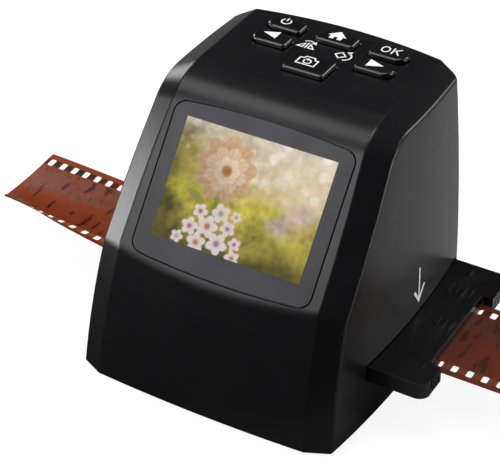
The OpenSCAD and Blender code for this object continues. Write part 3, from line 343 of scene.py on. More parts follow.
# A closed solid of one flat outline at several heights; each is (height, how far the outline grows there)
def levelSolid(name, outlineAt, *heights, matrix=Matrix.Scale(mm, 4)):
    return place(loft(name, [[(x, y, z) for x, y in outlineAt(grow)] for z, grow in heights]), matrix)


def boxSolid(name, low, high):
    corners = [(low[0], low[1]), (high[0], low[1]), (high[0], high[1]), (low[0], high[1])]
    return levelSolid(name, lambda grow: corners, (low[2], 0), (high[2], 0))


def useModifier(piece, kind, **settings):
    pick(piece)
    modifier = piece.modifiers.new(kind.lower(), kind)
    for name, value in settings.items():
        setattr(modifier, name, value)
    bpy.ops.object.modifier_apply(modifier=modifier.name)


def cut(piece, cutter, operation="DIFFERENCE"):
    useModifier(piece, "BOOLEAN", object=cutter, operation=operation, solver="EXACT")
    bpy.data.objects.remove(cutter)


def finishPiece(piece, body, slot, *replaced, angle=35, material=None):
    piece.data.materials.clear()
    piece.data.materials.append(material or slotLooks[slot])
    pick(piece)
    bpy.ops.object.shade_smooth_by_angle(angle=radians(angle))
    useModifier(piece, "WEIGHTED_NORMAL", keep_sharp=True)
    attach(piece, body)
    if replaced:
        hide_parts(*replaced)


# A CAD node's own mesh in a new object, with its doubles merged and flat areas made single faces
def weldedCopy(node, name):
    piece = newObject(name, cadNodes[node].data.copy())
    editAll(piece, (bpy.ops.mesh.remove_doubles, dict(threshold=1e-5)),
            (bpy.ops.mesh.dissolve_limited, dict(angle_limit=radians(0.4))))
    return piece


# Rounds the edges that a rule picks; the rule gets an edge's two ends in millimetres
def roundEdges(piece, rule, width, segments=3):
    pick(piece)
    mesh = piece.data
    for part in (mesh.vertices, mesh.edges, mesh.polygons):
        part.foreach_set("select", [False] * len(part))
    for edge in mesh.edges:
        a, b = (mesh.vertices[k].co / mm for k in edge.vertices)
        edge.select = rule(a, b)
    bpy.ops.object.mode_set(mode="EDIT")
    bpy.ops.mesh.select_mode(type="EDGE")
    bpy.ops.mesh.bevel(offset=width * mm, segments=segments, profile=0.5, affect="EDGES", clamp_overlap=True)
    bpy.ops.object.mode_set(mode="OBJECT")


# ---- housing ----

# Everything in millimetres; the form is the one that the CAD hull follows
hoodSizes = dict(baseWidth=91.2, topWidth=76.8, sideBulge=1.15, sideRadius=300, frontReach=45.3, backReach=46.3,
                 backRadius=147, height=84.51, frontRadius=187, frontBow=1.1, creaseHeight=42.15, creaseBack=10.75,
                 lean=radians(37.8), shoulderRadius=18, chamferWidth=7.3, chamferDepth=3.4, cornerRadius=3, wall=2,
                 footGap=0.8, bellyAt=3, bellyLean=0.2, creaseSoftness=1.6, edgeRound=0.8, wallStrip=2.4)
# Numbers of faces: up the bowed front, crease, face and shoulder, across half the front, along the top, round the
# rear corner, and how many of the crest's rows lie over the wall's upper edge
hoodSteps = dict(bow=8, crease=6, face=3, shoulder=14, across=8, along=8, corner=8, overWall=8)
steps = SimpleNamespace(**hoodSteps)
form = SimpleNamespace(**hoodSizes)
form.chamferAngle = atan2(form.chamferDepth, form.chamferWidth)
form.flatHalf = form.topWidth / 2 - form.chamferWidth
chordAngle = atan2(form.creaseBack, form.creaseHeight - form.footGap)
halfArc = asin(hypot(form.creaseBack, form.creaseHeight - form.footGap) / 2 / form.frontRadius)
lowAngle = chordAngle - halfArc
arcY = form.frontRadius * cos(lowAngle) - form.frontReach
arcZ = form.footGap - form.frontRadius * sin(lowAngle)
creaseY = form.creaseBack - form.frontReach
faceTopZ = form.height - form.shoulderRadius * (1 - sin(form.lean))
faceTopY = creaseY + (faceTopZ - form.creaseHeight) * tan(form.lean)
shoulderY = faceTopY + form.shoulderRadius * cos(form.lean)


def inward(point, depth):
    y, z, tilt = point
    return y + depth * cos(tilt), z - depth * sin(tilt)


def sideX(y, z):
    s = (z - form.footGap) / (form.height - form.chamferDepth - form.footGap)
    bulge = (form.topWidth - form.baseWidth) / 2 * s + 4 * form.sideBulge * s * (1 - s)
    return form.baseWidth / 2 + bulge - (y - form.bellyAt - form.bellyLean * z) ** 2 / (2 * form.sideRadius)


def backY(x):
    return form.backReach - x * x / (2 * form.backRadius)


# Side profile at a share of the half width, as (y, z, tilt): bowed lower front, soft crease, flat face, shoulder
def frontPath(share):
    bow = form.frontBow * (1 - share * share)
    lean = form.lean
    offset = cos(lean) * (arcY - bow - creaseY) - sin(lean) * (arcZ - form.creaseHeight)
    meet = lean - acos(offset / form.frontRadius)

    def onArc(tilt):
        return arcY - bow - form.frontRadius * cos(tilt), arcZ + form.frontRadius * sin(tilt), tilt

    lastArc = meet - form.creaseSoftness / form.frontRadius
    path = [onArc(lowAngle + (lastArc - lowAngle) * k / steps.bow) for k in range(steps.bow + 1)]
    start, crease = path[-1], onArc(meet)
    end = (crease[0] + form.creaseSoftness * sin(lean), crease[1] + form.creaseSoftness * cos(lean))
    for u in [k / steps.crease for k in range(1, steps.crease + 1)]:
        y, z = ((1 - u) ** 2 * start[i] + 2 * u * (1 - u) * crease[i] + u * u * end[i] for i in (0, 1))
        dy, dz = ((1 - u) * (crease[i] - start[i]) + u * (end[i] - crease[i]) for i in (0, 1))
        path.append((y, z, atan2(dy, dz)))
    for k in range(1, steps.face + 1):
        path.append((*(a + (b - a) * k / steps.face for a, b in zip(end, (faceTopY, faceTopZ))), lean))
    for k in range(1, steps.shoulder + 1):
        tilt = lean + (pi / 2 - lean) * k / steps.shoulder
        path.append((shoulderY - form.shoulderRadius * cos(tilt),
                     form.height - form.shoulderRadius * (1 - sin(tilt)), tilt))
    return path


# Faces of the housing's half skin, moved inwards by t, and the points of its lower edge
def halfSkin(t):
    faces = []
    drop = form.chamferDepth + t * tan(pi / 4 - form.chamferAngle / 2)
    inset = form.chamferWidth + t * tan(form.chamferAngle / 2)
    floor, top, edgeZ = form.footGap, form.height - t, form.height - drop
    wallTop = edgeZ - form.wallStrip
    radius = form.cornerRadius - min(t, form.cornerRadius - 1)
    shares = [k / steps.across for k in range(steps.across + 1)]
    columns = [frontPath(share) for share in shares]
    crest = columns[-1]
    crestX = [sideX(*inward(p, form.chamferDepth)) - inset for p in crest]

    def band(rowA, rowB):
        for k in range(len(rowA) - 1):
            faces.append([rowA[k], rowA[k + 1], rowB[k + 1], rowB[k]])

    def onWall(y, z):
        return sideX(y, z) - t, y, z

    def cornerAt(z, angle):
        x = sideX(backY(form.topWidth / 2) - form.cornerRadius, z) - t - radius
        return x + radius * cos(angle), backY(x) - t - radius + radius * sin(angle), z

    # top edge of the side wall, and a line beside it in the wall that gives the rounded edge even faces
    edge, beside = [], []
    for line, depth in ((edge, drop), (beside, drop + form.wallStrip)):
        for p in crest:
            y, z = inward(p, depth)
            line.append(onWall(y, max(z, floor)))
    rows = []
    for i, x in enumerate(crestX):
        row = []
        for share, column in zip(shares, columns):
            y, z = inward(column[i], t)
            row.append((share * x, y, max(z, floor)))
        rows.append(row + [edge[i]])

    # flat top, from the shoulder back to the bowed rear edge
    backCrestX = form.flatHalf - t * tan(form.chamferAngle / 2)
    backCrestY = backY(backCrestX) - t
    start, rear = edge[-1][1], cornerAt(edgeZ, 0)

    def crestLine(y):
        return crestX[-1] + (backCrestX - crestX[-1]) * (y - start) / (backCrestY - start)

    for k in range(1, steps.along + 1):
        y = start + (rear[1] - start) * k / steps.along
        edge.append(onWall(y, edgeZ) if k < steps.along else rear)
        beside.append(onWall(y, wallTop) if k < steps.along else cornerAt(wallTop, 0))
        rows.append([(share * crestLine(y), y, top) for share in shares] + [edge[-1]])
    backLine = [(share * backCrestX, backY(share * backCrestX) - t) for share in shares]
    backRow = [(x, y, top) for x, y in backLine]
    for rowA, rowB in zip(rows, rows[1:]):
        band(rowA, rowB)
    band(rows[-1][:-1], backRow)

    # rear corner where the chamfer strip runs out
    turns = [radians(90 * k / steps.corner) for k in range(1, steps.corner + 1)]
    runOut = []
    for turn in turns:
        x, y, _ = cornerAt(edgeZ, turn)
        share = (x - crestLine(y)) / (sideX(y, edgeZ) - t - crestLine(y))
        runOut.append((x, y, top - (top - edgeZ) * share))
    faces.append([rows[-1][-2], rows[-1][-1]] + runOut + [backRow[-1]])

    # side wall between the front edge, the top edge, the rear corner and the floor
    turnRow = len(crest) - steps.overWall
    left, upper = beside[:turnRow + 1], beside[turnRow:]
    band(edge, beside)
    band([rear] + runOut + backRow[::-1], [beside[-1]] + [cornerAt(wallTop, turn) for turn in turns]
          + [(x, y, wallTop) for x, y in backLine[::-1]])

    def measure(line):
        along = [0]
        for a, b in zip(line, line[1:]):
            along.append(along[-1] + (Vector(b) - Vector(a)).length)
        return [a / along[-1] for a in along]

    shareUp, shareBack = measure(left), measure(upper)
    rings = []
    for i, v in enumerate(shareUp):
        z = floor + (wallTop - floor) * v
        corner = cornerAt(z, 0)
        lowCorner = cornerAt(floor, 0)
        ring = []
        for j, u in enumerate(shareBack):
            point = []
            for c in (1, 2):
                bottom = left[0][c] + (lowCorner[c] - left[0][c]) * u
                edges = (1 - v) * bottom + v * upper[j][c] + (1 - u) * left[i][c] + u * corner[c]
                ends = (1 - u) * (1 - v) * left[0][c] + u * (1 - v) * lowCorner[c]
                point.append(edges - ends - (1 - u) * v * upper[0][c] - u * v * beside[-1][c])
            ring.append(onWall(*point))
        ring[0], ring[-1] = left[i], corner
        ring += [cornerAt(z, turn) for turn in turns] + [(x, y, z) for x, y in backLine[::-1]]
        rings.append(ring)
    for ringA, ringB in zip(rings, rings[1:]):
        band(ringA, ringB)
    return faces, rows[0] + rings[0]


# The whole shell: outer skin, inner skin and the rim that joins them
def makeShell():
    outer, outerLoop = halfSkin(0)
    inner, innerLoop = halfSkin(form.wall)
    rim = [[outerLoop[k], outerLoop[k + 1], innerLoop[k + 1], innerLoop[k]] for k in range(len(outerLoop) - 1)]
    inside = Vector((0, 3, 40))
    indices, points, faces = {}, [], []

    def addFace(face, outward):
        ids = []
        for point in face:
            key = tuple(round(c, 4) for c in point)
            if key not in indices:
                indices[key] = len(points)
                points.append([c * mm for c in point])
            if indices[key] not in ids:
                ids.append(indices[key])
        if len(ids) < 3:
            return
        corners = [Vector(p) for p in face]
        normal = sum((a.cross(b) for a, b in zip(corners, corners[1:] + corners[:1])), Vector())
        faces.append(ids if normal.dot(outward(sum(corners, Vector()) / len(corners))) > 0 else ids[::-1])

    for group, outward in ((outer, lambda c: c - inside), (inner, lambda c: inside - c),
                           (rim, lambda c: Vector((0, 0, -1)))):
        for face in group:
            addFace(face, outward)
            addFace([(-x, y, z) for x, y, z in face], outward)
    mesh = bpy.data.meshes.new("hood_shell")
    mesh.from_pydata(points, [], faces)
    mesh.update()
    shell = newObject("hood_shell", mesh)
    # only where outer faces meet at an angle: the lower edge least, crest lines crisp, the other edges fully rounded
    outside = {indices[tuple(round(c, 4) for c in (side * x, y, z))]
               for face in outer for x, y, z in face for side in (1, -1)}
    work = bmesh.new()
    work.from_mesh(mesh)
    weights = work.edges.layers.float.new("bevel_weight_edge")
    for edge in work.edges:
        if len(edge.link_faces) == 2 and all(v.index in outside for v in edge.verts):
            angle = edge.calc_face_angle_signed(0)
            if angle > radians(18):
                low = max(v.co.z for v in edge.verts) < (form.footGap + 0.1) * mm
                edge[weights] = 0.4 if low else 0.6 if angle < radians(40) else 1
    work.to_mesh(mesh)
    work.free()
    useModifier(shell, "BEVEL", width=form.edgeRound * mm, segments=3, limit_method="WEIGHT",
                use_clamp_overlap=False)
    return shell


# ---- frame of the screen face: x across, y up the slope, z outwards, with the middle of the picture at 0 ----
screenSizes = dict(pictureMiddle=24.3, pictureWidth=48.96, pictureHeight=35.6, windowWidth=58.4, windowHeight=45,
                   windowBow=1.6, windowCorner=3.6, windowThick=1.2, windowDrop=1.1, windowGap=0.15, openingRim=0.7,
                   moduleHeight=36.72, openingSoft=0.25, windowRound=((-0.2, 0), (-0.06, -0.04), (0, -0.18)))
screen = SimpleNamespace(**screenSizes)
faceMatrix = Matrix.Translation((0, creaseY + screen.pictureMiddle * sin(form.lean),
                                 form.creaseHeight + screen.pictureMiddle * cos(form.lean)))
faceMatrix = Matrix.Scale(mm, 4) @ faceMatrix @ Matrix.Rotation(pi / 2 - form.lean, 4, "X")


def mirrorQuarter(quarter):
    right = [(x, -y) for x, y in quarter[::-1]] + quarter
    return right + [(-x, y) for x, y in right[-2:0:-1]]


def windowOutline(grow):
    half, high = screen.windowWidth / 2 + grow, screen.windowHeight / 2 + grow
    radius = screen.windowCorner + grow
    bowRadius = (half ** 2 + screen.windowBow ** 2) / (2 * screen.windowBow)
    bowY = high + screen.windowBow - bowRadius
    cornerY = bowY + sqrt((bowRadius - radius) ** 2 - (half - radius) ** 2)
    last = degrees(atan2(cornerY - bowY, half - radius))
    quarter = arc(half - radius, cornerY, radius, 0, last, 8) + arc(0, bowY, bowRadius, last, 90, 12)[1:]
    return [(x, y - screen.windowDrop) for x, y in mirrorQuarter(quarter)]


def roundedOutline(width, length, radius, grow=0, steps=6, at=(0, 0)):
    half, high, r = width / 2 + grow, length / 2 + grow, radius + grow
    corners = (half - r, high - r, 0), (r - half, high - r, 90), (r - half, r - high, 180), (half - r, r - high, 270)
    return [point for x, y, first in corners for point in arc(at[0] + x, at[1] + y, r, first, first + 90, steps)]


# Keys as (x, y, width, length, rounded end)
keys = {"power": (-17.3, 36.6, 11.8, 6, -1), "home": (0, 36.6, 12.6, 6, 0), "ok": (17.3, 36.6, 11.8, 6, 1),
        "left": (-17.3, 27.2, 11.8, 6, -1), "right": (17.3, 27.2, 11.8, 6, 1), "capture": (0, 18.9, 13.4, 9.6, 0)}
# softWide, softDeep: slope round each key's opening; edge: rounding of the keys
keySizes = dict(gap=0.25, proud=1.5, corner=1, softWide=0.65, softDeep=0.45, edge=0.8)
cap = SimpleNamespace(**keySizes)
# The shallow pads round the keys, as (width, length, corner, middle y, depth), and their soft edge over the top face
pads = [(51.6, 20.6, 5.6, 31.9, 0.2), (18.6, 20, 3.6, 21.5, 0.19)]
padSlope = (0.05, 1.0), (1, 1.2)


def keyOutline(key, grow):
    x, y, width, length, end = key
    half, high, r = width / 2 + grow, length / 2 + grow, cap.corner + grow
    if end == 0:
        return roundedOutline(width, length, cap.corner, grow, 6, (x, y))
    points = arc(half - high, 0, high, -90, 90, 24)
    points += arc(r - half, high - r, r, 90, 180, 6) + arc(r - half, r - high, r, 180, 270, 6)
    if end < 0:
        points = [(-px, py) for px, py in points[::-1]]
    return [(x + px, y + py) for px, py in points]


# gap: room round the tray in its slots; end: x of its outer end; notch: where the outer part begins in which every
# edge is outline; grip: grooves in the ends of both prongs, as (first y, count)
traySizes = dict(low=14.6, high=20, front=-22.8, back=37.2, gap=0.5, end=61.5, notch=56.5, split=17.3, edge=0.55,
                 seam=0.18, grooveDepth=0.35, grooveWide=0.55, groovePitch=1.25, grip=((-18.9, 5), (25.6, 7)))
tray = SimpleNamespace(**traySizes)
coverSizes = dict(low=5.8, high=75.51, inset=6.5, depth=12.3, gap=0.15)
hatch = SimpleNamespace(**coverSizes)


def backPrism(grow):
    low, high = hatch.low + grow, hatch.high - grow
    wide = [sideX(form.backReach, z) - hatch.inset - grow for z in (hatch.low, hatch.high)]
    outline = [(-wide[0], low), (wide[0], low), (wide[1], high), (-wide[1], high)]
    ends = form.backReach + 1, form.backReach - hatch.depth
    return place(loft("back_prism", [[(x, y, z) for x, z in outline] for y in ends]))


# Opening in the leaning face, through levels of an outline in the face's frame
def cutFace(name, outlineAt, *heights):
    cut(hood, levelSolid(name, outlineAt, *heights, matrix=faceMatrix))


hood = makeShell()
cover = newObject("housing_back_cover", hood.data.copy())
hood.name = "housing_hood"
cut(hood, backPrism(0))
cut(hood, boxSolid("slot_cutter", (-100, tray.front - tray.gap, tray.low - tray.gap),
                   (100, tray.back + tray.gap, tray.high + tray.gap)))
gap, rim, soft = screen.windowGap, screen.openingRim, screen.openingSoft
cutFace("recess_cutter", windowOutline, (-screen.windowThick, gap), (-soft, gap), (0.5, gap + 0.5 + soft))
cutFace("picture_cutter",
        lambda grow: roundedOutline(screen.pictureWidth + 2 * rim, screen.moduleHeight + 2 * rim, rim), (-4, 0), (1, 0))
top = form.height
for width, length, corner, y, depth in pads:
    cut(hood, levelSolid("pad_cutter", lambda grow: roundedOutline(width, length, corner, grow, 10, (0, y)),
                         (top - depth, 0), *[(top + over, grow) for over, grow in padSlope]))
for key in keys.values():
    cut(hood, levelSolid("key_cutter", lambda grow: keyOutline(key, grow), (top - 4, cap.gap),
                         (top - cap.softDeep, cap.gap), (top + 0.2, cap.gap + cap.softWide)))
finishPiece(hood, "housing", "housing_plastic", "hood")
print("hood:", len(hood.data.polygons), "faces")

# Openings over the sockets, from the deck that carries them; usb as low and high corner in x and z from the deck
socketSizes = dict(deck=67.61, card=(-12, 0, 12, 3.4), usb=(18, -0.6, 27, 3.5), jack=(-22.5, 2.6, 3.2))
cut(cover, backPrism(hatch.gap), "INTERSECT")
deck, throughBack = socketSizes["deck"], (30, 60)
for name in ("card", "usb"):
    left, low, right, high = socketSizes[name]
    cut(cover, boxSolid(name + "_cutter", (left, throughBack[0], deck + low), (right, throughBack[1], deck + high)))
x, z, radius = socketSizes["jack"]
cut(cover, place(loft("jack_cutter", [[(px, y, pz) for px, pz in arc(x, deck + z, radius, 0, 350, 35)]
                                      for y in throughBack])))
finishPiece(cover, "housing", "housing_plastic", "back_cover")
print("back cover:", len(cover.data.polygons), "faces")

# ---- screen ----
window = levelSolid("screen_glass", windowOutline, (-screen.windowThick, 0), *screen.windowRound, matrix=faceMatrix)
finishPiece(window, "housing", "window_acrylic", "screen_window", angle=50)


# The lit picture is painted on its own mesh, one colour per corner: a meadow out of focus with a large bloom
# and a cluster of blossoms in front. Places run 0 to 1 to the right and up, the picture is 4:3.
pictureSizes = dict(columns=150, rows=112, front=0.005, thick=0.03, glow=0.93)
picture = SimpleNamespace(**pictureSizes)
# blurred patches as (u, v, half width, half height, colour, strength)
meadow = [(0.5, 0.62, 1.2, 0.34, "#cbb47e", 0.8), (0.5, 1.05, 1.3, 0.42, "#d4ccbd", 0.95),
          (0.85, 0.8, 0.5, 0.34, "#dfcdae", 0.9), (0.04, 0.7, 0.16, 0.5, "#6b6122", 0.9),
          (0.15, 0.66, 0.2, 0.3, "#b3a34c", 0.7), (0.02, 0.2, 0.22, 0.5, "#454215", 0.95),
          (0.2, 0.42, 0.24, 0.14, "#9f972a", 0.9), (0.62, 0.42, 0.34, 0.16, "#c2b440", 0.85),
          (0.88, 0.36, 0.3, 0.16, "#b3a54c", 0.75), (0.5, -0.05, 1.4, 0.32, "#4e4719", 0.95),
          (0.7, 0.16, 0.5, 0.14, "#8f8434", 0.6), (0.86, 0.5, 0.12, 0.2, "#c4aca6", 0.8),
          (0.8, 0.34, 0.1, 0.12, "#b49c98", 0.85), (0.3, 0.9, 0.3, 0.14, "#cbbb94", 0.7),
          (0.55, 0.7, 0.16, 0.2, "#dccca4", 0.6)]
# little blossoms as (u, v, radius)
blossoms = [(0.27, 0.3, 0.07), (0.4, 0.33, 0.085), (0.34, 0.2, 0.1), (0.47, 0.23, 0.07), (0.23, 0.16, 0.08),
            (0.5, 0.34, 0.05), (0.3, 0.05, 0.09), (0.43, 0.09, 0.1), (0.54, 0.13, 0.06), (0.17, 0.05, 0.06),
            (0.55, 0.02, 0.07)]
# round spots of light in the background: how many, and the ranges of u, v, radius and strength
discRanges = [(26, (0.45, 1.0), (0.62, 1.02), (0.025, 0.06), (0.15, 0.5)),
              (9, (0.0, 0.3), (0.75, 1.0), (0.02, 0.05), (0.1, 0.4))]
# leaves out of focus, coarse to fine: pitch across and up, layer of the noise, weight
leafRuns = [(9, 7, 0.3, 0.6), (24, 18, 5.0, 0.5), (60, 40, 9.0, 0.25)]


def smoothstep(x):
    x = min(max(x, 0), 1)
    return x * x * (3 - 2 * x)


def blend(under, shade, share):
    return [a + (b - a) * share for a, b in zip(under, shade)]


# How far a place lies inside a flower: above 0 inside, with the share of the radius and the angle
def petalDepth(u, v, flower, count, turn=0.0, cleft=0.2):
    x, y = (u - flower[0]) * 4 / 3, v - flower[1]
    angle, far = atan2(y, x), hypot(x, y) / flower[2]
    return 1 - cleft + cleft * abs(cos(count / 2 * (angle - turn))) - far, far, angle


def pictureColour(u, v, discs):
    shade = linear("#a99b3e")
    sway = 0.03 * sin(9 * u + 4 * v) + 0.02 * sin(17 * v - 6 * u)
    for x, y, wide, high, colour, strength in meadow:
        far = hypot((u + sway - x) / wide, (v - sway - y) / high)
        shade = blend(shade, linear(colour), strength * smoothstep((1.05 - far) / 0.85))
    for x, y, radius, share in discs:
        far = hypot((u - x) * 4 / 3, v - y) / radius
        shade = blend(shade, linear("#f3ece2"), share * smoothstep((1 - far) / 0.25))
    # leaves and grass out of focus: stronger in the lower left, fine in the grass
    leafy = sum(noise.noise((u * across, v * up, layer)) * weight for across, up, layer, weight in leafRuns)
    depth = (0.30 + 0.35 * smoothstep((0.75 - v) / 0.5)) * (1 - 0.35 * smoothstep((u - 0.3) / 0.5))
    shade = [c * max(0.25, 1 + depth * leafy * 1.6) for c in shade]
    # stem and two leaves
    stem = abs((u - 0.3 - 0.05 * sin(3 * v)) * 4 / 3)
    if v < 0.6:
        shade = blend(shade, linear("#6f7a3a"), 0.9 * smoothstep((0.022 - stem) / 0.012))
    for side, root in ((-1, 0.36), (1, 0.42)):
        along, across = (u - 0.3) * side / 0.17, v - root - 0.5 * abs(u - 0.3)
        if 0 < along < 1:
            shade = blend(shade, linear("#84893f"), 0.85 * smoothstep((0.05 * sin(pi * along) - abs(across)) / 0.02))
    # the large bloom: two rings of petals round a golden middle
    for flower, count, turn, light, dark in (((0.34, 0.68, 0.285), 9, 0.2, "#cfab84", "#a57f5c"),
                                             ((0.345, 0.675, 0.2), 8, 0.55, "#dcc3a6", "#b28d6c"),
                                             ((0.35, 0.67, 0.12), 7, 0.1, "#e6d2bc", "#c39c7c")):
        depth, far, angle = petalDepth(u, v, flower, count, turn)
        fold = 0.5 + 0.5 * cos(count * 3 * (angle - turn))
        lit = 0.78 + 0.34 * smoothstep(0.5 + 0.5 * far * cos(angle - 0.8)) + 0.12 * noise.noise((u * 30, v * 22, 2.0))
        petal = [c * lit for c in blend(linear(dark), linear(light), min(1, 0.35 + 0.6 * far) * (0.7 + 0.3 * fold))]
        shade = blend(shade, petal, smoothstep(depth / 0.09))
    depth, far, angle = petalDepth(u, v, (0.352, 0.668, 0.052), 12, 0, 0.05)
    shade = blend(shade, blend(linear("#8a5a34"), linear("#b98a4e"), far), smoothstep(depth / 0.15))
    for k, flower in enumerate(blossoms):
        depth, far, angle = petalDepth(u, v, flower, 5, k * 0.7, 0.35)
        petal = blend(linear("#c9a2a0"), linear("#d9cfc9"), smoothstep(far * 1.6))
        shade = blend(shade, petal, smoothstep(depth / 0.12))
        heart = ("#b0426a", "#8f9a4a", "#b5634e", "#8d6aa0")[k % 4]
        shade = blend(shade, linear(heart), 0.85 * smoothstep((0.3 - far) / 0.12))
    return shade


def litPicture():
    look = newMaterial("lit_display", "#000000", Roughness=0.4, Specular_IOR_Level=0.1,
                       Emission_Strength=picture.glow)
    paint = addNode(look.tree, "ShaderNodeAttribute", attribute_name="picture")
    look.feed("Emission Color", paint.outputs["Color"])
    return look.material


def makePicture():
    piece = makeGrid(picture.columns, picture.rows, 1)
    piece.name = "screen_picture"
    dice = random.Random(4)
    discs = [[dice.uniform(*span) for span in spans] for count, *spans in discRanges for k in range(count)]
    layer = piece.data.color_attributes.new("picture", "FLOAT_COLOR", "POINT")
    for vert, paint in zip(piece.data.vertices, layer.data):
        x, y, z = vert.co
        paint.color = pictureColour(x + 0.5, y + 0.5, discs)
        vert.co = (x * screen.pictureWidth, y * screen.pictureHeight, picture.front)
    useModifier(piece, "SOLIDIFY", thickness=picture.thick, offset=1)
    finishPiece(place(piece, faceMatrix), "housing", "display", material=litPicture())


makePicture()
print("screen done")

# ---- keys ----
topZ = form.height + cap.proud
for name in keys:
    button = weldedCopy(f"{name}_button", f"key_{name}")
    roundEdges(button, lambda a, b: min(a.z, b.z) > topZ - 0.01, cap.edge, 5)
    finishPiece(button, f"{name}_key", "button_plastic", f"{name}_button")
print("keys done")

# ---- printed signs ----
# sink: how deep the ink reaches into the plastic; then the widths of its lines on the keys, the pad and the wall;
# mitre: limits the points of sharp corners
inkSizes = dict(thick=0.03, sink=0.008, stroke=0.44, padStroke=0.45, shaft=0.75, barbs=1.0, mitre=0.45)
ink = SimpleNamespace(**inkSizes)


# A line of ink of even width along a polyline, as a strip of faces on the plane z = 0 in millimetres
def inkLine(points, width=ink.stroke, closed=False):
    if closed:
        points = points + [points[0]]
    edges = []
    for k, here in enumerate(points):
        before = points[k - 1] if k else (points[-2] if closed else None)
        after = points[k + 1] if k + 1 < len(points) else (points[1] if closed else None)
        ways = [Vector((b[0] - a[0], b[1] - a[1])).normalized() for a, b in ((before, here), (here, after)) if a and b]
        way = sum(ways, Vector((0, 0))).normalized()
        reach = width / 2 / max(way.dot(ways[0]), ink.mitre)
        edges.append([(here[0] - way.y * reach * side, here[1] + way.x * reach * side) for side in (-1, 1)])
    piece = makeGrid(len(points) - 1, 1)
    for vert in piece.data.vertices:
        k = round((vert.co.x + 1) / 2 * (len(points) - 1))
        vert.co = (*edges[k][vert.co.y > 0], 0)
    editAll(piece, (bpy.ops.mesh.remove_doubles, dict(threshold=1e-4)))
    return piece


def inkPatch(points):
    return makeFace([(*point, 0) for point in points])


# Joins the flat marks of one sign, gives them thickness and lays them on a surface: onto maps (x, y, height) in mm
def printSign(name, body, slot, onto, *marks):
    sign = joined(marks)
    sign.name = "sign_" + name
    editAll(sign, (bpy.ops.mesh.quads_convert_to_tris, {}))
    for face in sign.data.polygons:
        if face.normal.z < 0:
            face.flip()
    useModifier(sign, "SOLIDIFY", thickness=ink.thick, offset=1)
    for vert in sign.data.vertices:
        vert.co = [c * mm for c in onto(*vert.co)]
    editAll(sign, (bpy.ops.mesh.normals_make_consistent, dict(inside=False)))
    finishPiece(sign, body, slot, material=whiteInk)


def keySign(name, *marks):
    printSign(name, name + "_key", "button_plastic", lambda x, y, high: (x, y, topZ - ink.sink + high), *marks)


def padSign(name, *marks):
    ground = form.height - pads[0][-1] - ink.sink
    printSign(name, "housing", "housing_plastic", lambda x, y, high: (x, y, ground + high), *marks)


def padLine(points, **settings):
    return inkLine(points, ink.padStroke, **settings)


keySign("power", inkLine(arc(-17.85, 37.5, 1.5, 128, 412, 24)), inkLine([(-17.85, 37.8), (-17.85, 39.6)]))
keySign("left", inkPatch([(-20.7, 28.75), (-15.85, 26.7), (-15.85, 30.8)]))
keySign("right", inkPatch([(19.5, 28.1), (14.5, 30.2), (14.5, 26.0)]))
keySign("home", inkPatch([(-0.4, 40.1), (-3.4, 37.2), (-2.4, 37.2), (-2.4, 35.3), (-1.0, 35.3), (-1.0, 36.6),
                          (0.2, 36.6), (0.2, 35.3), (1.6, 35.3), (1.6, 37.2), (2.6, 37.2)]))
oval = [(15.55 + 0.8 * x, 37.55 + 1.55 / 1.5 * y) for x, y in arc(0, 0, 1.5, 0, 345, 23)]
keySign("ok", inkLine(oval, closed=True), inkLine([(17.95, 35.8), (17.95, 39.35)]),
        inkLine([(20.2, 39.35), (18.1, 37.5)]), inkLine([(18.75, 38.0), (20.3, 35.8)]))
keySign("capture", inkLine([(-4.0, 17.7), (-4.0, 21.1), (-2.9, 21.1), (-2.4, 22.2), (0.3, 22.2), (0.8, 21.1),
                            (1.9, 21.1), (1.9, 17.7)], closed=True),
        inkLine(arc(-1.05, 19.55, 1.15, 150, 450)), inkPatch([(-1.1, 21.35), (-1.1, 20.05), (-2.2, 20.7)]))
padSign("flip", padLine([(-7.0, 28.8), (-7.0, 32.2)]),
        padLine([(-9.7, 29.2), (-7.9, 29.2), (-7.9, 31.5)], closed=True),
        padLine([(-4.3, 29.2), (-6.1, 29.2), (-6.1, 31.5)], closed=True),
        padLine(arc(-7.0, 31.2, 2.1, 140, 50)), inkPatch([(-4.6, 31.9), (-6.3, 32.2), (-5.1, 33.5)]))
padSign("rotate", padLine([(4.3, 32.0), (6.0, 30.3), (4.3, 28.6), (2.6, 30.3)], closed=True),
        padLine(arc(5.3, 30.3, 2.4, -75, 65)), inkPatch([(5.3, 32.9), (6.9, 33.6), (6.9, 31.5)]))
# the arrow is laid on the bowed wall, so its shaft has several steps
tail, tip = (8.75, 35.0), (7.7, 24.3)
shaft = [[a + (b - a) * k / 6 for a, b in zip(tail, tip)] for k in range(7)]
printSign("arrow", "housing", "housing_plastic", lambda y, z, high: (sideX(y, z) - ink.sink + high, y, z),
          inkLine(shaft, ink.shaft), inkLine([(4.9, 28.4), (7.7, 24.2), (11.6, 28.0)], ink.barbs))
print("signs done")

# ---- tray ----

# An edge of the tray's outer outline at a height: the ends, the notch and both long sides, not the ridges on its top
def outlineEdge(a, b, z):
    atEnd = min(a.x, b.x) > tray.notch
    atSide = max(a.y, b.y) < tray.front + 0.5 or min(a.y, b.y) > tray.back - 0.5
    return abs(a.z - z) < 0.02 and abs(b.z - z) < 0.02 and (atEnd or atSide)


for node, outer in (("tray_base", tray.low), ("tray_lid", tray.high)):
    low, high = sorted((outer, tray.split))
    half = weldedCopy(node, node + "_moulding")
    roundEdges(half, lambda a, b: outlineEdge(a, b, outer), tray.edge)
    roundEdges(half, lambda a, b: outlineEdge(a, b, tray.split), tray.seam, 2)
    for y in [first + k * tray.groovePitch for first, count in tray.grip for k in range(count)]:
        cut(half, boxSolid("grip_cutter", (tray.end - tray.grooveDepth, y - tray.grooveWide / 2, low - 1),
                           (tray.end + 1, y + tray.grooveWide / 2, high + 1)))
    finishPiece(half, "tray", "tray_plastic", node)
print("tray done")

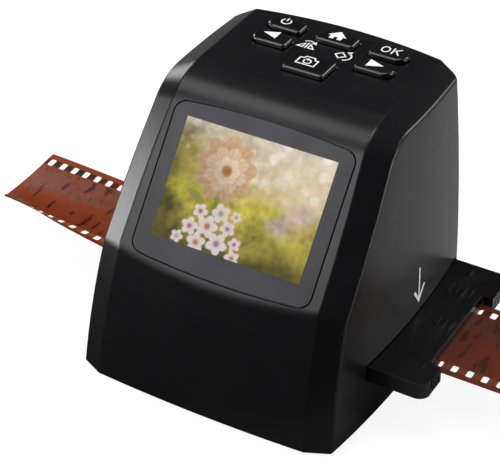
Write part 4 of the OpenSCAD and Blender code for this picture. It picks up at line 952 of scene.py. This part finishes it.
# ---- film ----
filmSizes = dict(start=-100, length=228, width=35, y=6, z=17.05, thick=0.15, pitch=4.75, holeWide=2.8, holeLong=1.98,
                 holeIn=3.41, round=0.44, cornerPull=0.29, rows=(-11.5, -8, -4, 0, 4, 8, 11.5), frame=38.0,
                 picture=(36.0, 24.0), printHigh=2.6, cupStart=-38.5, cupLong=75, frontCup=(8.0, 6.4, 0.8),
                 rearCup=(3.1, 1.7, 1), curlFrom=30, curlLong=31.5, narrowing=0.6)
strip = SimpleNamespace(**filmSizes)


# Where a point of the flat film lies: along and across in millimetres from the strip's left end and middle line.
# Left of cupStart the edges cup: they rise, run back to the right and draw together; a cup is (rise, run, power).
def filmPlace(along, across):
    x = strip.start + along
    reach = strip.cupStart - x
    half = strip.width / 2
    share = across / half
    z = 0
    if reach > 0:
        rise, run, power = strip.frontCup if share < 0 else strip.rearCup
        z = rise * smoothstep((reach + 2) / strip.cupLong) ** power * share * share
        x += smoothstep((reach - strip.curlFrom) / strip.curlLong) * run * share * share
        across -= across * strip.narrowing * (z / half) ** 2
    return x, strip.y + across, strip.z + z


def makeFilm():
    half, holeAt = strip.width / 2, strip.width / 2 - strip.holeIn
    count = int(strip.length // strip.pitch)

    # The lines of the grid along a hole: its two edges and the ends of its corners' rounds
    def holeLines(middle, long):
        return [middle - long / 2, middle - long / 2 + strip.round, middle + long / 2 - strip.round, middle + long / 2]

    def flatPlace(vert):
        return [lines[round((c + 1) / 2 * (len(lines) - 1))] for c, lines in zip(vert.co, (alongs, acrosses))]

    def fromHole(u, w):
        return (u % strip.pitch) - strip.pitch / 2, abs(w) - holeAt

    ends = [holeLines((k + 0.5) * strip.pitch, strip.holeLong) for k in range(count)]
    alongs = [0.0, *sum(ends, []), strip.length]
    acrosses = sorted([-half, *strip.rows, half, *holeLines(-holeAt, strip.holeWide),
                       *holeLines(holeAt, strip.holeWide)])
    piece = makeGrid(len(alongs) - 1, len(acrosses) - 1)
    piece.name = "film_negative"
    work = bmesh.new()
    work.from_mesh(piece.data)
    holes = []
    for face in work.faces:
        u, w = (sum(parts) / 4 for parts in zip(*map(flatPlace, face.verts)))
        x, y = fromHole(u, w)
        if u < strip.pitch * count and abs(x) < strip.holeLong / 2 and abs(y) < strip.holeWide / 2:
            holes.append(face)
    bmesh.ops.delete(work, geom=holes, context="FACES")
    layer = work.loops.layers.uv.new("strip")
    spots = {}
    for vert in work.verts:
        u, w = flatPlace(vert)
        x, y = fromHole(u, w)
        if abs(abs(x) - strip.holeLong / 2) < 0.001 and abs(abs(y) - strip.holeWide / 2) < 0.001:
            pull = strip.round * strip.cornerPull  # corner of a hole, drawn in to the middle of its round
            u -= copysign(pull, x)
            w -= copysign(pull, y * w)
        spots[vert] = (u, w)
    for face in work.faces:
        for loop in face.loops:
            loop[layer].uv = (spots[loop.vert][0] / strip.length, spots[loop.vert][1] / strip.width + 0.5)
    for vert, spot in spots.items():
        vert.co = [c * mm for c in filmPlace(*spot)]
    work.to_mesh(piece.data)
    work.free()
    useModifier(piece, "SOLIDIFY", thickness=strip.thick * mm, offset=1)
    return piece


# Colour negative on its own map: orange base, frames 38 mm apart with generic clouds, bands and strokes in them,
# dark olive between the rear perforations and amber between the front ones
def developedFilm():
    look = newMaterial("developed_negative", filmShades["base"], Roughness=0.34, Specular_IOR_Level=0.2,
                       Coat_Weight=0.05, Coat_Roughness=0.12)
    tree = look.tree

    # Result of one node on the film's tree; the sockets are numbered or named
    def result(kind, links, **settings):
        node = addNode(tree, kind, links, **settings)
        return node.outputs["Result" if kind in ("ShaderNodeMapRange", "ShaderNodeMix") else 0]

    flat = addNode(tree, "ShaderNodeUVMap", uv_map="strip").outputs["UV"]
    sized = result("ShaderNodeVectorMath", {0: flat, 1: (strip.length, strip.width, 0)}, operation="MULTIPLY")
    spot = result("ShaderNodeVectorMath", {0: sized, 1: (0, strip.width / 2, 0)}, operation="SUBTRACT")
    along, across = addNode(tree, "ShaderNodeSeparateXYZ", {0: spot}).outputs[:2]
    frameAt = result("ShaderNodeMath", {0: along, 1: strip.frame}, operation="MODULO")
    halfLong, halfWide = (side / 2 for side in strip.picture)
    fromMiddle = result("ShaderNodeMath", {0: frameAt, 1: strip.frame / 2, 2: halfLong}, operation="COMPARE")
    fromEdge = result("ShaderNodeMath", {0: across, 1: 0.0, 2: halfWide}, operation="COMPARE")
    inFrame = result("ShaderNodeMath", {0: fromMiddle, 1: fromEdge}, operation="MULTIPLY")
    # pale band along the rear of the frames, with a wavy border
    cloud = result("ShaderNodeTexNoise", {"Vector": spot, "Scale": 0.11, "Detail": 4.0})
    border = result("ShaderNodeMath", {0: cloud, 1: 9.0, 2: -2.6}, operation="MULTIPLY_ADD")
    above = result("ShaderNodeMath", {0: across, 1: border}, operation="SUBTRACT")
    band = result("ShaderNodeMapRange", {"Value": above, "From Min": -0.4, "From Max": 0.6})
    # blots and slanting strokes
    turned = result("ShaderNodeMapping", {"Vector": spot, "Rotation": (0, 0, radians(35)), "Scale": (1, 0.28, 1)})
    blot = result("ShaderNodeTexNoise", {"Vector": turned, "Scale": 0.34, "Detail": 3.0, "Roughness": 0.6})
    dark = result("ShaderNodeMapRange", {"Value": blot, "From Min": 0.57, "From Max": 0.61})
    patch = result("ShaderNodeTexNoise", {"Vector": spot, "Scale": 0.3, "Detail": 3.0})
    dim = result("ShaderNodeMapRange", {"Value": patch, "From Min": 0.45, "From Max": 0.7})
    # dark olive between the rear perforations and amber between the front ones
    holeAt = result("ShaderNodeMath", {0: along, 1: strip.pitch}, operation="MODULO")
    atHole = result("ShaderNodeMath", {0: holeAt, 1: strip.pitch / 2, 2: strip.holeLong / 2 + 0.3}, operation="COMPARE")
    between = result("ShaderNodeMath", {0: 1.0, 1: atHole}, operation="SUBTRACT")
    row = strip.width / 2 - strip.holeIn
    rear, front = (result("ShaderNodeMath", {0: across, 1: middle, 2: strip.printHigh / 2}, operation="COMPARE")
                   for middle in (row, -row))
    # the frames at the right end are denser
    dense = result("ShaderNodeMapRange", {"Value": along, "From Min": 120.0, "From Max": 160.0, "To Max": 0.62})

    def tinted(under, share, hue):
        return result("ShaderNodeMix", {"Factor": share, "A": under, "B": linear(hue)}, data_type="RGBA")

    colour = linear(filmShades["base"])
    for share, where, shade in ((band, inFrame, "band"), (dim, inFrame, "dim"), (dark, inFrame, "stroke"),
                                (between, rear, "olive"), (between, front, "amber")):
        hue, strength = filmShades[shade]
        both = result("ShaderNodeMath", {0: share, 1: where}, operation="MULTIPLY")
        weak = result("ShaderNodeMath", {0: both, 1: strength}, operation="MULTIPLY")
        colour = tinted(colour, weak, hue)
    look.feed("Base Color", tinted(colour, dense, filmShades["dense"]))
    return look.material


# the base and its denser end, then the shades over it with their strengths
filmShades = dict(base="#823415", dense="#45251c", band=("#6c4233", 0.7), dim=("#602814", 0.5),
                  stroke=("#2c120a", 0.9), olive=("#241f0c", 0.95), amber=("#a0622a", 0.6))
slotLooks["film_base"] = developedFilm()
film = makeFilm()
finishPiece(film, "film", "film_base", "film_strip", angle=40)
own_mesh(film)
print("film:", len(film.data.polygons), "faces")

# ---- underside ----
# head: a screw's head; cross: its recess, as length and width; dish: a foot's levels from its middle out, as (z, grow)
undersideSizes = dict(foot=9, head=4.2, headRound=0.25, cross=(2.4, 0.5), crossDeep=0.6,
                      dish=((0.15, -2.7), (0.08, -2.1), (0, -1.5), (0.03, -0.9), (0.14, -0.45), (0.35, -0.15),
                            (0.6, 0), (1.8, 0)))
underside = SimpleNamespace(**undersideSizes)


# Middles of a node's four equal rounds, from its box
def fourMiddles(node, wide):
    low, high = (Vector(corner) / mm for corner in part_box(node))
    return [(x, y) for x in (low.x + wide / 2, high.x - wide / 2) for y in (low.y + wide / 2, high.y - wide / 2)]


feet = [levelSolid("rubber_pads", lambda grow: arc(x, y, underside.foot / 2 + grow, 0, 350, 35), *underside.dish)
        for x, y in fourMiddles("rubber_feet", underside.foot)]
finishPiece(joined(feet), "housing", "foot_rubber", "rubber_feet")
long, wide = underside.cross
recessTop = form.footGap + underside.crossDeep
for node in ("base_screws", "chassis_screws"):
    screws = weldedCopy(node, node + "_recessed")
    roundEdges(screws, lambda a, b: max(a.z, b.z) < form.footGap + 0.01, underside.headRound)
    for x, y in fourMiddles(node, underside.head):
        for halfX, halfY in ((long / 2, wide / 2), (wide / 2, long / 2)):
            cut(screws, boxSolid("cross_cutter", (x - halfX, y - halfY, 0), (x + halfX, y + halfY, recessTop)))
    finishPiece(screws, "housing", "screw_steel", node)
print("underside done")

# ---- CAD nodes that stay ----
slotOf = {part["node"]: part["material_slot"] for part in frame["record"]["subparts"]}
for name, node in cadNodes.items():
    node.data.materials.clear()
    node.data.materials.append(slotLooks[slotOf[name]])

# ---- floor, lights, camera ----
# behind: way to the rear right, along which the floor's reflected shade turns pale between two places, in metres
stageSizes = dict(floorHalf=3.0, floorZ=-0.0002, glow=1.15, glowShare=0.78, ambient=0.04, behind=(0.59, 0.81, 0),
                  paleFrom=-0.05, paleTo=0.07)
stage = SimpleNamespace(**stageSizes)


# 1 for what the camera sees directly or through glass, 0 for what the object reflects
def seenDirectly(tree):
    rays = addNode(tree, "ShaderNodeLightPath")
    return addNode(tree, "ShaderNodeMath", {0: rays.outputs["Is Camera Ray"], 1: rays.outputs["Is Transmission Ray"]},
                   operation="MAXIMUM").outputs[0]


# Pale floor: white to the eye with the object's soft shadow; the black plastic sees it as if dark card lay on it
# in front and at the left, so that the lower front stays black
def paleFloor():
    material = bpy.data.materials.new("pale_floor")
    material.use_nodes = True
    tree = material.node_tree
    tree.nodes.clear()
    seen = seenDirectly(tree)
    share = addNode(tree, "ShaderNodeMath", {0: seen, 1: stage.glowShare}, operation="MULTIPLY").outputs[0]
    spot = addNode(tree, "ShaderNodeTexCoord").outputs["Object"]
    behind = addNode(tree, "ShaderNodeVectorMath", {0: spot, 1: stage.behind}, operation="DOT_PRODUCT").outputs["Value"]
    far = addNode(tree, "ShaderNodeMapRange",
                  {"Value": behind, "From Min": stage.paleFrom, "From Max": stage.paleTo}).outputs["Result"]
    flag = addNode(tree, "ShaderNodeMix", {"Factor": far, "A": linear("#3c3c3c"), "B": linear("#d8d8d8")},
                   data_type="RGBA").outputs["Result"]
    shade = addNode(tree, "ShaderNodeMix", {"Factor": seen, "A": flag, "B": linear("#f2f2f2")},
                    data_type="RGBA").outputs["Result"]
    paint = addNode(tree, "ShaderNodeBsdfDiffuse", {"Color": shade}).outputs[0]
    glow = addNode(tree, "ShaderNodeEmission", {"Color": (1, 1, 1, 1), "Strength": stage.glow}).outputs[0]
    mix = addNode(tree, "ShaderNodeMixShader", {0: share, 1: paint, 2: glow}).outputs[0]
    addNode(tree, "ShaderNodeOutputMaterial", {"Surface": mix})
    return material


deselectAll()
bpy.ops.mesh.primitive_plane_add(size=2 * stage.floorHalf, location=(0, 0, stage.floorZ))
floor = bpy.context.object
floor.name = "studio_floor"
floor.data.materials.append(paleFloor())
floor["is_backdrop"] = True

world = bpy.data.worlds.new("studio")
bpy.context.scene.world = world
world.use_nodes = True
tree = world.node_tree
tree.nodes.clear()
ambient, white = (addNode(tree, "ShaderNodeBackground", {"Color": (1, 1, 1, 1), "Strength": strength}).outputs[0]
                  for strength in (stage.ambient, 1.0))
mix = addNode(tree, "ShaderNodeMixShader", {0: seenDirectly(tree), 1: ambient, 2: white}).outputs[0]
addNode(tree, "ShaderNodeOutputWorld", {"Surface": mix})


# Soft panels round the object, as (name, azimuth, elevation, height, watts): low and middle ones at the left for the
# left chamfer, one above the camera's left for the leaning face, three rim panels at the right for the ends of the
# keys and the tray, the right wall, and the line along the right chamfer's edge, and weak light from behind and above
panels = [("low_left", 196, 3.5, 0.12, 2.2), ("low_front", 214, 7, 0.14, 0.8), ("mid_left", 152, 24, 0.25, 1.9),
          ("front_left", 230, 24, 0.3, 1.0), ("face_panel", 245, 40, 0.3, 1.4), ("high_left", 200, 62, 0.3, 1.2),
          ("rim_high", 30, 40, 0.3, 0.5), ("rim_middle", 52, 24, 0.25, 1.6), ("rim_low", 14, 4, 0.16, 1.5),
          ("back_high", 100, 55, 0.3, 0.2), ("top_panel", 0, 90, 0.3, 1.7)]
panelSizes = dict(distance=0.75, width=0.3, middle=Vector((0, 0, 0.05)))
panel = SimpleNamespace(**panelSizes)
for name, azimuth, elevation, height, watts in panels:
    lamp = newObject(name, bpy.data.lights.new(name, "AREA"))
    lamp.data.shape = "RECTANGLE"
    lamp.data.size, lamp.data.size_y, lamp.data.energy = panel.width, height, watts
    turn, rise = radians(azimuth), radians(elevation)
    way = Vector((cos(turn) * cos(rise), sin(turn) * cos(rise), sin(rise)))
    lamp.location = panel.middle + way * panel.distance
    lamp.rotation_euler = (-way).to_track_quat("-Z", "Y").to_euler()

# lens and sensor in millimetres, eye and target in metres, roll in degrees
cameraSizes = dict(lens=127.8, sensor=36, near=0.01, far=20, eye=(0.20749, -0.37770, 0.34563),
                   target=(-0.00702, -0.003, 0.03652), roll=0.26)
view = SimpleNamespace(**cameraSizes)
camera = newObject("camera", bpy.data.cameras.new("camera"))
camera.data.lens, camera.data.sensor_width = view.lens, view.sensor
camera.data.clip_start, camera.data.clip_end = view.near, view.far
aim = (Vector(view.target) - Vector(view.eye)).to_track_quat("-Z", "Y").to_matrix().to_4x4()
camera.matrix_world = Matrix.Translation(view.eye) @ aim @ Matrix.Rotation(radians(view.roll), 4, "Z")
bpy.context.scene.camera = camera
bpy.context.scene.view_settings.view_transform = "Standard"

low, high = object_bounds()
